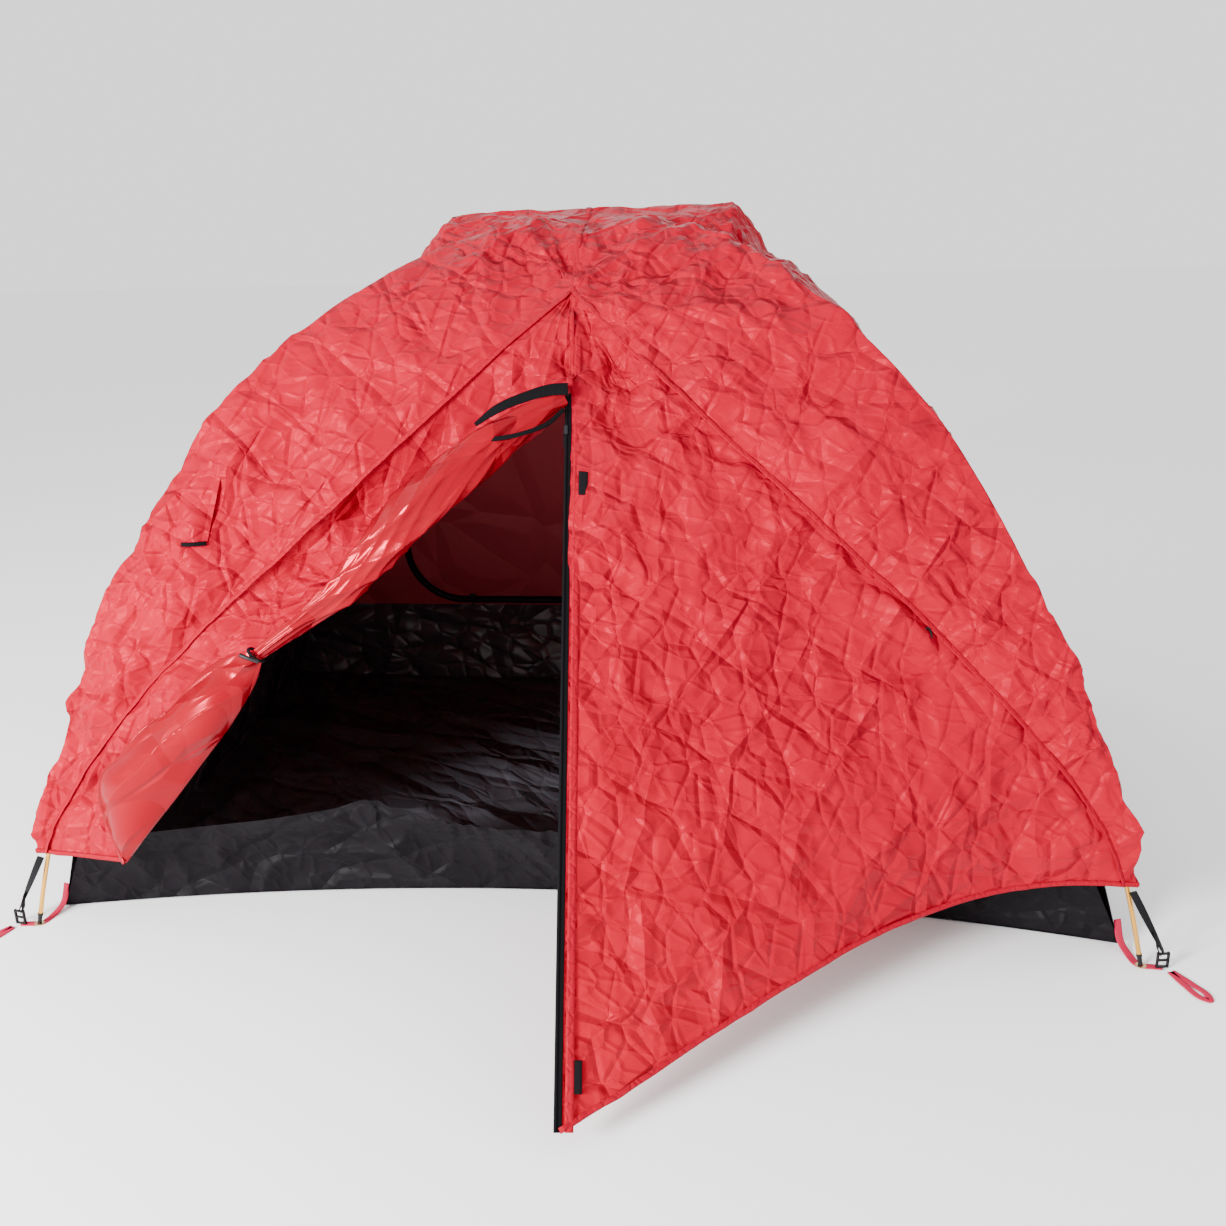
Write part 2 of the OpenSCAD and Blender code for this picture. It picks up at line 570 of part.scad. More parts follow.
// ---- porch door ----
function door_pt(s, u) = lerp(lerp(zip_top, corner_pt, u), lerp(zip_top, tip_pt, u), s)
  + (bezier(hem_curve, s) - lerp(corner_pt, tip_pt, s)) * u * u;
door_rows = 12;
door_cols = 10;
module porch_door() {
  color("tomato") sheet([for (i = [door_rows : -1 : 0])
    let (u = 0.06 + 0.94 * i / door_rows, w = norm(corner_pt - tip_pt) * u,
         s0 = (seam_gap + 1) / w, s1 = 1 - (tape_w / 2 + 1) / w)
      [for (j = [door_cols : -1 : 0]) door_pt(lerp(s0, s1, j / door_cols), u)]], fly_t);
}
zip_start = 60;
zip_end = 6;
// Frame on the zip line: +X runs down the zip, +Z points out of the tent
module on_zip(s) {
  x = zip_dir;
  side = unit(corner_pt - zip_top - x * ((corner_pt - zip_top) * x));
  out = cross(side, x);
  translate(zip_top + x * s) multmatrix([
    [x[0], side[0], -out[0], 0], [x[1], side[1], -out[1], 0],
    [x[2], side[2], -out[2], 0], [0, 0, 0, 1]]) children();
}
module porch_zip() {
  run = zip_len - zip_start - zip_end;
  color("black") on_zip(zip_start) {
    translate([0, -tape_w / 2, -0.8]) cube([run, tape_w, 1.4]);
    translate([0, -tape_w / 2, 0]) rotate([0, 90, 0]) cylinder(h = run, d = coil_d, $fn = 16);
  }
}
module porch_slider() {
  color("silver") on_zip(zip_start + 18) translate([0, -tape_w / 2, 0]) {
    d = coil_d + 2 * slider_fit;
    difference() {
      translate([-9, -d / 2 - 2, -d / 2 - 1.6]) cube([18, d + 2, d + 3.2]);
      translate([-12, 0, 0]) rotate([0, 90, 0]) cylinder(h = 24, d = d, $fn = 16);
      translate([-12, 0, -0.8 - slider_fit]) cube([24, d, 1.4 + 2 * slider_fit]);
    }
    translate([-4, -3, -d / 2 - 5.2]) cube([34, 6, 1.6]);
    translate([-4, -2, -d / 2 - 4]) cube([5, 4, 2.6]);
  }
}
patch_w = 17;
patch_l = 46;
module velcro_patches() {
  color("black") for (s = [0.15, 0.94]) on_zip(s * zip_len)
    translate([0, tape_w / 2 + 18, fly_t / 2 + 0.7]) linear_extrude(1.2)
      offset(r = 3) square([patch_l - 6, patch_w - 6], center = true);
}

// ---- rolled door and its ties ----
roll_path = [for (i = [0 : 10]) let (t = i / 10)
  lerp(zip_top + [-30, -28, -30], tie_pt + [14, -30, -4], t) + [0, -20, -50] * sin(180 * t)];
function roll_radius(t) = 9 + (roll_r - 9) * pow(sin(180 * min(1, 0.12 + 0.88 * t)), 0.8);
module rolled_door() {
  color("crimson") sweep([for (i = [0 : 10]) [roll_path[i], roll_radius(i / 10)]], 12);
}
module door_flap() {
  color("crimson") sheet([for (i = [0 : 8]) let (u = 0.06 + 0.94 * i / 8)
    [for (j = [0 : 4])
      lerp(lerp(tie_pt, left_corner, u), lerp(tie_pt, flap_pt, u), j / 4) + [8 * u, -20, 0]]], fly_t);
}
toggle_l = 30;
module roll_tie() {
  color("black") translate(tie_pt + [5, -26, 2]) rotate([0, 35, 0]) {
    rotate([0, 90, 0]) rotate_extrude() translate([13, 0]) square([1.6, 9], center = true);
    translate([0, -17, 0]) rotate([0, 0, 90]) cylinder(h = toggle_l, d = 5, center = true);
  }
}
spare_pt = seam_pt(0.51, 0) + [0, -5, 0];
tie_strap = 46;
// The spare tie hangs a little clear of the slope of the fly below it
spare_lean = 4 + atan(
  (leg_r(spare_pt[2] - tie_strap, fly_gap) - leg_r(spare_pt[2], fly_gap)) * uy / tie_strap);
module spare_tie() {
  color("black") translate(spare_pt) rotate([-spare_lean, 0, 0]) {
    translate([-4, -1.5, -tie_strap]) cube([8, 1.5, tie_strap - 2]);
    translate([0, -3.5, -tie_strap]) rotate([0, 90, 0]) cylinder(h = toggle_l, d = 5, center = true);
  }
}
hood_z = hem_z + 330;
module vent_hood() {
  y0 = -0.52 * leg_r(hood_z, fly_gap) * uy;
  color("tomato") sheet([for (i = [0 : 6])
    let (z = hood_z + 130 - 150 * i / 6, p = side_pt(0, z, fly_gap + 9 + 18 * i / 6))
    [for (j = [0 : 4]) [-p[0] + 0.004 * pow(20 * j - 40, 2), y0 - 40 + 20 * j, z]]], fly_t);
}

// ---- corners: webbing, eyelet, buckle, strap and peg loop, drawn for the front right ----
web_dir = unit([floor_inset_x, -floor_inset_y]);
web_z = 0.3;
module flat_web(p, q, w, t, z) {
  d = q - p;
  translate([p[0], p[1], z]) rotate([0, 0, atan2(d[1], d[0])])
    translate([0, -w / 2, 0]) cube([norm(d), w, t]);
}
ring_pt = [34, -4];
module corner_webbing() {
  color("crimson") four_corners() difference() {
    union() {
      flat_web([-floor_inset_x, floor_inset_y - 1] + 2 * web_dir, [0, 0], web_w, web_t, web_z);
      translate([0, 0, web_z]) cylinder(h = web_t, d = 2 * eyelet_r + 16);
      flat_web([0, 0], ring_pt, web_w, web_t, web_z);
    }
    translate([0, 0, -1]) cylinder(h = 6, r = eyelet_r + 1.5);
  }
}
module eyelets() {
  color("darkgoldenrod") four_corners() rotate_extrude() difference() {
    union() {
      translate([eyelet_r, web_z]) square([1.3, web_t]);
      translate([eyelet_r, web_z + web_t + 0.05]) square([4.5, 0.9]);
    }
  }
}
buckle_z = web_z + web_t + 0.4;
strap_top = [corner_pt[0] + 14 - tent_w / 2, corner_pt[1] - 12 + tent_d / 2, hem_z - 6];
strap_low = [ring_pt[0], ring_pt[1], 34];
// A ladder-lock standing at the end of the webbing: two side rails and three bars
module ladder_locks() {
  color("black") four_corners() translate([ring_pt[0], ring_pt[1], buckle_z]) rotate([0, 0, 10]) {
    for (s = [-1, 1]) translate([s * (web_w / 2 + 2) - 1.5, -2.5, 0]) cube([3, 5, 30]);
    for (z = [0, 13, 26]) translate([-web_w / 2 - 2, -2, z]) cube([web_w + 4, 4, 3.2]);
  }
}
module fly_straps() {
  color("dimgray") four_corners() along(strap_low, strap_top)
    translate([0, -web_w / 2, -web_t / 2]) cube([norm(strap_top - strap_low), web_w, web_t]);
}
loop_dir = 65;
loop_hinge = [ring_pt[0] + 12, ring_pt[1] - 12];
loop_w = 26;
module peg_loop_shape() {
  translate([loop_hinge[0], loop_hinge[1], web_z]) rotate([0, 0, -loop_dir])
  linear_extrude(web_t) difference() {
    hull() {
      translate([5, 0]) circle(d = 10);
      translate([peg_loop_len - loop_w / 2, 0]) circle(d = loop_w);
    }
    hull() {
      translate([26, 0]) circle(d = 5);
      translate([peg_loop_len - loop_w / 2, 0]) circle(d = loop_w - 9);
    }
  }
}
module peg_loop(sx, sy) {
  color("crimson") mirror([sx, 0, 0]) mirror([0, sy, 0])
    translate([tent_w / 2, -tent_d / 2, 0]) peg_loop_shape();
}

rotate([0, 0, plan_turn]) pole_section(a_top, 0);  // pole_a_section_1
rotate([0, 0, plan_turn]) pole_section(a_top, 1);  // pole_a_section_2
rotate([0, 0, plan_turn]) pole_section(a_top, 2);  // pole_a_section_3
rotate([0, 0, plan_turn]) pole_section(a_top, 3);  // pole_a_section_4
rotate([0, 0, plan_turn]) pole_section(a_top, 4);  // pole_a_section_5
rotate([0, 0, plan_turn]) pole_section(a_top, 5);  // pole_a_section_6
rotate([0, 0, plan_turn]) pole_section(a_top, 6);  // pole_a_section_7
rotate([0, 0, -plan_turn]) pole_section(b_top, 0);  // pole_b_section_1
rotate([0, 0, -plan_turn]) pole_section(b_top, 1);  // pole_b_section_2
rotate([0, 0, -plan_turn]) pole_section(b_top, 2);  // pole_b_section_3
rotate([0, 0, -plan_turn]) pole_section(b_top, 3);  // pole_b_section_4
rotate([0, 0, -plan_turn]) pole_section(b_top, 4);  // pole_b_section_5
rotate([0, 0, -plan_turn]) pole_section(b_top, 5);  // pole_b_section_6
rotate([0, 0, -plan_turn]) pole_section(b_top, 6);  // pole_b_section_7
pole_inserts();
pole_cords();
pole_tips();
ridge_pole();
ridge_pole_ends();
crossing_clip();
pole_clips();
groundsheet();
tub_front();
tub_back();
tub_left();
tub_right();
inner_front();
inner_back();
inner_left();
inner_right();
inner_roof();
back_door();
back_door_zip();
back_door_slider();
front_door_roll();
fly_roof();
fly_left();
fly_right();
fly_back();
fly_front_left();
fly_front_right();
gusset_left();
gusset_right();
porch_door();
porch_zip();
porch_slider();
velcro_patches();
rolled_door();
door_flap();
roll_tie();
spare_tie();
vent_hood();
corner_webbing();
eyelets();
ladder_locks();
fly_straps();
peg_loop(1, 0);  // peg_loop_front_left
peg_loop(0, 0);  // peg_loop_front_right
peg_loop(1, 1);  // peg_loop_back_left
peg_loop(0, 1);  // peg_loop_back_right
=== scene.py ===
import json
import math
import bpy
import numpy as np
from mathutils import Matrix, Vector


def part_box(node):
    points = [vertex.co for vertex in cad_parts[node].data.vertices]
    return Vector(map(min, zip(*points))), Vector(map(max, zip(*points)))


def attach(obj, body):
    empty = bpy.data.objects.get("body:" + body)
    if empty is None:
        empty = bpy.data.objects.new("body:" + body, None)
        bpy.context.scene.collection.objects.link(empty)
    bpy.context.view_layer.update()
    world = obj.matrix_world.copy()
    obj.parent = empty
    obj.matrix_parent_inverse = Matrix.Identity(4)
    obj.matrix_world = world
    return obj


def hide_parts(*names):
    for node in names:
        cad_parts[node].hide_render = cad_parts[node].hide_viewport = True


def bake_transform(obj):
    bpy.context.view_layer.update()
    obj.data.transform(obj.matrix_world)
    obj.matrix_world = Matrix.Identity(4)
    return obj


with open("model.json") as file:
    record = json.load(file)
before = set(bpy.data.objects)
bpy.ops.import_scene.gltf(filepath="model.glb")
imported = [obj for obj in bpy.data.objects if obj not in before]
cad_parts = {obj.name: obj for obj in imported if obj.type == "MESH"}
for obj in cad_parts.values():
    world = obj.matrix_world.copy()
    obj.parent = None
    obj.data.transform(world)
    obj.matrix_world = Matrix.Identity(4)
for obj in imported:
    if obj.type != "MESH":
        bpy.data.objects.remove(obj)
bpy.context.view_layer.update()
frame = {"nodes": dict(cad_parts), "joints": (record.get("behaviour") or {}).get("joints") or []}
joints = {j["name"]: j for j in frame["joints"]}
print("frame loaded,", len(frame["nodes"]), "nodes")

# The same arch as the poles: a top bend and two lower bends
tent = {
    "halfWidth": 1.025,
    "halfDepth": 0.725,
    "top": 1.262,
    "bendEnd": 54.0,  # degrees
    "footLean": 77.0,
    "flyGap": 0.018,
    "innerGap": 0.038,
    "hemHeight": 0.15,
    "splitHeight": 1.15,
    "ridgeHalf": 0.282,
    "tubHeight": 0.22,
    "innerTop": 1.132,
}


def vec(*v):
    return np.array(v, float)


def lerp(a, b, t):
    return a + (b - a) * t


def unit(v):
    return v / np.maximum(np.linalg.norm(v, axis=-1, keepdims=True), 1e-9)


def smooth(x, lo, hi):
    t = np.clip((x - lo) / (hi - lo), 0, 1)
    return t * t * (3 - 2 * t)


def bezier(p, t):
    t = np.asarray(t, float)[..., None]
    return p[0] * (1 - t) ** 3 + p[1] * 3 * t * (1 - t) ** 2 + p[2] * 3 * t**2 * (1 - t) + p[3] * t**3


halfDiag = math.hypot(tent["halfWidth"], tent["halfDepth"])
shareX = tent["halfWidth"] / halfDiag
shareY = tent["halfDepth"] / halfDiag
bendEnd = math.radians(tent["bendEnd"])
footLean = math.radians(tent["footLean"])
m11, m12 = math.sin(bendEnd), math.sin(footLean) - math.sin(bendEnd)
m21, m22 = 1 - math.cos(bendEnd), math.cos(bendEnd) - math.cos(footLean)
det = m11 * m22 - m12 * m21
bendTop = (halfDiag * m22 - m12 * tent["top"]) / det
bendLow = (m11 * tent["top"] - m21 * halfDiag) / det
topZ = tent["top"] - bendTop
lowX = (bendTop - bendLow) * math.sin(bendEnd)
lowZ = topZ + (bendTop - bendLow) * math.cos(bendEnd)


def legReach(z, gap):  # distance from the centre line to a leg at height z, pushed out by gap
    z = np.asarray(z, float)
    high = np.sqrt(np.maximum(1e-6, (bendTop + gap) ** 2 - (z - topZ) ** 2))
    low = lowX + np.sqrt(np.maximum(1e-6, (bendLow + gap) ** 2 - (z - lowZ) ** 2))
    return np.where(z > topZ + (bendTop + gap) * math.cos(bendEnd), high, low)


def frontFace(x, z, gap):
    x, z = np.broadcast_arrays(np.asarray(x, float), np.asarray(z, float))
    return np.stack([x, -legReach(z, gap) * shareY, z], -1)


def domeHeight(x, y, gap):
    r = np.maximum(np.abs(x) / shareX, np.abs(y) / shareY)
    return topZ + np.sqrt(np.maximum(1e-6, (bendTop + gap) ** 2 - r**2))


# ---- places that several pieces share ----
gap = tent["flyGap"]
splitZ, hemZ = tent["splitHeight"], tent["hemHeight"]
split = frontFace(0.0, splitZ, gap)
swing = joints["porch_door_swing"]
zipTop = vec(*swing["origin"]) if "origin" in swing else vec(0.012, -0.4536, 0.9722)
tip = vec(0.075, -1.252, 0.039)
seamEnd = float(legReach(hemZ, gap)) * shareX - 0.022
seamCurve = [vec(0, splitZ), vec(0.45 * seamEnd, hemZ + 0.61 * (splitZ - hemZ)),
             vec(0.93 * seamEnd, hemZ + 0.25 * (splitZ - hemZ)), vec(seamEnd, hemZ)]
seamTable = bezier(seamCurve, np.linspace(0, 1, 400))


def seamX(z):
    return np.interp(z, seamTable[::-1, 1], seamTable[::-1, 0])


def seamPoint(z):
    return frontFace(seamX(z), z, gap)


corner = seamPoint(hemZ)
mirrorX = vec(-1, 1, 1)
tie = vec(-0.5497, -0.6527, 0.54)
flapTip = vec(-0.8245, -0.7247, 0.143)
hemCurve = [corner, corner + vec(-0.35, 0.015, 0.008), vec(0.43 * corner[0], corner[1] - 0.25, 0.1), tip]


# ---- mesh helpers ----
def addMesh(name, points, faces, uv=None, material=None):
    mesh = bpy.data.meshes.new(name)
    mesh.vertices.add(len(points))
    mesh.vertices.foreach_set("co", np.ascontiguousarray(points, np.float32).ravel())
    faces = np.ascontiguousarray(faces, np.int32)
    count, size = faces.shape
    mesh.loops.add(count * size)
    mesh.loops.foreach_set("vertex_index", faces.ravel())
    mesh.polygons.add(count)
    mesh.polygons.foreach_set("loop_start", np.arange(0, count * size, size, dtype=np.int32))
    mesh.polygons.foreach_set("use_smooth", np.ones(count, bool))
    mesh.update(calc_edges=True)
    if uv is not None:
        layer = mesh.uv_layers.new(name="Cloth")
        layer.data.foreach_set("uv", np.ascontiguousarray(uv[faces.ravel()], np.float32).ravel())
    mesh.validate()
    obj = bpy.data.objects.new(name, mesh)
    bpy.context.scene.collection.objects.link(obj)
    if material:
        mesh.materials.append(material)
    return obj


def gridFaces(n, m, ring=False):
    i, j = np.meshgrid(np.arange(n - 1), np.arange(m if ring else m - 1), indexing="ij")
    k = (j + 1) % m
    return np.stack([i * m + j, i * m + k, (i + 1) * m + k, (i + 1) * m + j], -1).reshape(-1, 4)


def gridMesh(name, grid, material, flip=False, ring=False):
    n, m = grid.shape[:2]
    faces = gridFaces(n, m, ring)
    if flip:
        faces = faces[:, ::-1]
    along = np.concatenate([[0], np.cumsum(np.linalg.norm(np.diff(grid.mean(1), axis=0), axis=1))])
    middle = grid[n // 2]
    across = np.concatenate([[0], np.cumsum(np.linalg.norm(np.diff(middle, axis=0), axis=1))])
    uv = np.stack(np.meshgrid(across, along), -1).reshape(-1, 2)  # metres across and down the cloth
    return addMesh(name, grid.reshape(-1, 3), faces, uv, material)


def gridArea(g):
    a = np.cross(g[1:, :-1] - g[:-1, :-1], g[:-1, 1:] - g[:-1, :-1])
    b = np.cross(g[1:, :-1] - g[1:, 1:], g[:-1, 1:] - g[1:, 1:])
    return float((np.linalg.norm(a, axis=-1) + np.linalg.norm(b, axis=-1)).sum() / 2)


def resample(points, n):
    points = np.asarray(points, float)
    s = np.concatenate([[0], np.cumsum(np.linalg.norm(np.diff(points, axis=0), axis=1))])
    # a smooth curve through the points: cubic pieces with averaged slopes
    slope = np.gradient(points, s, axis=0)
    t = np.linspace(0, s[-1], n)
    i = np.clip(np.searchsorted(s, t, side="right") - 1, 0, len(s) - 2)
    h = (s[i + 1] - s[i])[:, None]
    u = ((t - s[i])[:, None]) / h
    return ((2 * u**3 - 3 * u**2 + 1) * points[i] + (u**3 - 2 * u**2 + u) * h * slope[i]
            + (-2 * u**3 + 3 * u**2) * points[i + 1] + (u**3 - u**2) * h * slope[i + 1])


def sweep(name, path, up, profile, material, scale=None):
    path = np.asarray(path, float)
    d = unit(np.gradient(path, axis=0))
    up = np.broadcast_to(np.asarray(up, float), path.shape)
    side = unit(np.cross(d, up))
    up = np.cross(side, d)
    profile = np.asarray(profile, float)
    scale = np.ones(len(path)) if scale is None else scale
    ring = path[:, None] + scale[:, None, None] * (
        side[:, None] * profile[None, :, 0, None] + up[:, None] * profile[None, :, 1, None])
    n, m = ring.shape[:2]
    points = np.concatenate([ring.reshape(-1, 3), ring[0].mean(0)[None], ring[-1].mean(0)[None]])
    quads = gridFaces(n, m, True)
    j = np.arange(m)
    k = (j + 1) % m
    capA = np.stack([np.full(m, n * m), k, j, j], -1)
    capB = np.stack([np.full(m, n * m + 1), (n - 1) * m + j, (n - 1) * m + k, (n - 1) * m + k], -1)
    run = np.concatenate([[0], np.cumsum(np.linalg.norm(np.diff(path, axis=0), axis=1))])
    wide = np.concatenate([[0], np.cumsum(np.linalg.norm(np.diff(profile, axis=0), axis=1))])
    uv = np.stack(np.meshgrid(wide, run), -1).reshape(-1, 2)
    uv = np.concatenate([uv, uv[:1], uv[-1:]])
    obj = polyMesh(name, points, [quads, capA[:, :3], capB[:, :3]], uv, material)
    return obj


def polyMesh(name, points, groups, uv, material):
    mesh = bpy.data.meshes.new(name)
    loops = np.concatenate([g.ravel() for g in groups]).astype(np.int32)
    sizes = np.concatenate([np.full(len(g), g.shape[1]) for g in groups])
    starts = np.concatenate([[0], np.cumsum(sizes)[:-1]]).astype(np.int32)
    mesh.vertices.add(len(points))
    mesh.vertices.foreach_set("co", np.ascontiguousarray(points, np.float32).ravel())
    mesh.loops.add(len(loops))
    mesh.loops.foreach_set("vertex_index", loops)
    mesh.polygons.add(len(sizes))
    mesh.polygons.foreach_set("loop_start", starts)
    mesh.polygons.foreach_set("use_smooth", np.ones(len(sizes), bool))
    mesh.update(calc_edges=True)
    layer = mesh.uv_layers.new(name="Cloth")
    layer.data.foreach_set("uv", np.ascontiguousarray(uv[loops], np.float32).ravel())
    mesh.validate()
    obj = bpy.data.objects.new(name, mesh)
    bpy.context.scene.collection.objects.link(obj)
    mesh.materials.append(material)
    return obj


def bandProfile(width, thick, crown=0.0):  # a flat band with slightly rounded edges
    x = np.array([-0.5, -0.46, -0.2, 0, 0.2, 0.46, 0.5, 0.46, 0, -0.46]) * width
    z = np.array([0, 0.5, 0.5 + crown, 0.5 + crown, 0.5 + crown, 0.5, 0, -0.5, -0.5, -0.5]) * thick
    return np.stack([x, z], -1)


def roundProfile(radius, sides=12):
    a = np.arange(sides) * 2 * math.pi / sides
    return np.stack([radius * np.cos(a), -radius * np.sin(a)], -1)


# ---- crumple: creases and pulled folds added along one smooth outward direction ----
crumple = {
    "creases": 2400,
    "doorCreases": 560,
    "creaseWidth": (0.005, 0.019),  # metres, from the crest to where it has faded
    "creaseLength": (0.05, 0.30),
    "creaseHeight": 0.0070,
    "swell": 0.004,  # slow rise and fall of a whole panel
    "heldNear": 0.03,  # cloth within this distance of a seam is held straighter
}


def outward(p):
    return unit((p - vec(0, 0.05, 0.3)) * vec(1, 1.25, 0.9))


def distanceTo(p, line):
    flat = p.reshape(-1, 3)
    a, b = line[:-1], line[1:]
    best = np.full(len(flat), 9.0)
    for s, e in zip(a, b):
        d = e - s
        t = np.clip((flat - s) @ d / (d @ d), 0, 1)
        best = np.minimum(best, np.linalg.norm(flat - s - t[:, None] * d, axis=1))
    return best.reshape(p.shape[:-1])


heights = np.linspace(splitZ, hemZ, 26)
rightSeam = seamPoint(heights)
leftSeam = rightSeam * mirrorX
zipLine = np.stack([lerp(split, tip, t) for t in np.linspace(0, 1, 8)])
anchors = [  # where the cloth is pulled from: place, number of folds round it, height, reach
    (vec(0.296, 0, 1.29), 11, 0.0065, 0.17),
    (vec(-0.296, 0, 1.29), 11, 0.0065, 0.17),
    (split + vec(0, 0, 0.01), 15, 0.0085, 0.14),
    (tie, 17, 0.0075, 0.12),
    (vec(0.10, -0.412, 1.027), 13, 0.0055, 0.12),
    (corner, 15, 0.004, 0.12),
    (corner * mirrorX, 15, 0.0045, 0.14),
    (tip, 21, 0.0032, 0.16),
    (lerp(zipTop, tip, 0.13) + vec(0.03, 0, 0), 13, 0.0035, 0.08),
    (vec(0, -0.30, 1.17), 9, 0.006, 0.16),
]


def makeCreases(seed, count, centres, heightScale=1.0):
    r = np.random.default_rng(seed)
    c = centres[r.integers(0, len(centres), count)]
    o = outward(c)
    turn = r.uniform(0, math.pi, count)
    e1 = unit(np.cross(o, vec(0, 0, 1)))
    e2 = np.cross(o, e1)
    n = e1 * np.cos(turn)[:, None] + e2 * np.sin(turn)[:, None]
    size = r.power(0.55, count)  # many short creases, few long ones
    length = lerp(crumple["creaseLength"][0], crumple["creaseLength"][1], 1 - size)
    width = (lerp(crumple["creaseWidth"][0], crumple["creaseWidth"][1], 1 - size)
             * r.uniform(0.7, 1.3, count))
    height = (crumple["creaseHeight"] * heightScale * (0.35 + 0.65 * (1 - size))
              * r.uniform(0.4, 1.0, count))
    height *= np.where(r.random(count) < 0.5, 1, -0.8)
    bow = r.uniform(-1.2, 1.2, count) / length  # creases bend a little
    return c, n, np.cross(o, n), length, width, height, bow


def creaseHeight(p, creases):
    flat = p.reshape(-1, 3)
    order = np.argsort(flat[:, 2])
    zs = flat[order, 2]
    out = np.zeros(len(flat))
    for c, n, t, length, width, height, bow in zip(*creases):
        lo, hi = np.searchsorted(zs, [c[2] - length, c[2] + length])
        pick = order[lo:hi]
        d = flat[pick] - c
        near = (d * d).sum(1) < length * length
        pick, d = pick[near], d[near]
        b = d @ t
        a = d @ n - 0.25 * bow * b * b
        fade = np.clip(1 - (b / length) ** 2, 0, 1) ** 1.5
        # a sharp crest with a long flank on one side and a short one on the other
        flank = np.where(a > 0, np.exp(-a / (2.2 * width)), np.exp(a / (0.8 * width)))
        out[pick] += height * fade * flank
    return out.reshape(p.shape[:-1])


def pulledFolds(p):
    o = outward(p)
    out = np.zeros(p.shape[:-1])
    for k, (a, folds, height, reach) in enumerate(anchors):
        d = p - a
        r = np.linalg.norm(d, axis=-1)
        oA = outward(a)
        e1 = unit(np.cross(oA, vec(0.1, 0, 1)))
        e2 = np.cross(oA, e1)
        angle = np.arctan2(d @ e2, d @ e1)
        wave = np.sin(angle * folds + 1.7 * k + 1.5 * np.sin(3 * angle + k) + 4 * r)
        crest = 1 - 2 * np.abs(wave) ** 0.7  # narrow crests, wide valleys
        out += height * crest * (r / (r + 0.03)) * np.exp(-r / reach) * 0.6
    return out


def swell(p):
    x, y, z = p[..., 0], p[..., 1], p[..., 2]
    s = (np.sin(6.1 * x + 4.3 * z + 1.1) * np.sin(5.2 * z - 2.9 * x + 0.4)
         + 0.6 * np.sin(11.3 * x - 9.1 * z + 2.0 * y) * np.sin(8.7 * z + 7.9 * x + 3 * y))
    return crumple["swell"] * s


def cloth(p, creases, calm=1.0):
    toSeam = np.minimum(distanceTo(p, rightSeam), distanceTo(p, leftSeam))
    held = 0.25 + 0.75 * smooth(toSeam, 0, crumple["heldNear"])
    h = creaseHeight(p, creases) + pulledFolds(p) + swell(p)
    onLeg = np.exp(-(((np.abs(p[..., 0]) / shareX - np.abs(p[..., 1]) / shareY) / 0.09) ** 2))
    h = np.where(h < 0, h * (1 - 0.85 * onLeg), h)  # over a pole the cloth can't sink
    return p + outward(p) * (h * held * calm)[..., None]


# ---- materials ----
def material(name, slot, colour, rough=0.5, **more):
    mat = bpy.data.materials.new(name)
    mat.use_nodes = True
    nodes, links = mat.node_tree.nodes, mat.node_tree.links
    shader = nodes["Principled BSDF"]
    shader.inputs["Base Color"].default_value = (*colour, 1)
    shader.inputs["Roughness"].default_value = rough
    for key, value in more.items():
        shader.inputs[key.replace("_", " ")].default_value = value
    mat["slotName"] = slot
    return mat, nodes, links, shader


def place(nodes, links, scale):
    coord = nodes.new("ShaderNodeTexCoord")
    mapping = nodes.new("ShaderNodeMapping")
    mapping.inputs["Scale"].default_value = scale
    links.new(coord.outputs["Object"], mapping.inputs["Vector"])
    return mapping.outputs["Vector"]


def warped(nodes, links, vector, scale, amount):
    noise = nodes.new("ShaderNodeTexNoise")
    noise.inputs["Scale"].default_value = scale
    noise.inputs["Detail"].default_value = 2
    links.new(vector, noise.inputs["Vector"])
    mix = nodes.new("ShaderNodeVectorMath")
    mix.operation = "MULTIPLY_ADD"
    mix.inputs[1].default_value = (amount, amount, amount)
    links.new(noise.outputs["Color"], mix.inputs[0])
    links.new(vector, mix.inputs[2])
    return mix.outputs[0]


def math2(nodes, links, op, a, b):
    node = nodes.new("ShaderNodeMath")
    node.operation = op
    for i, v in enumerate((a, b)):
        if isinstance(v, (int, float)):
            node.inputs[i].default_value = v
        else:
            links.new(v, node.inputs[i])
    return node.outputs[0]


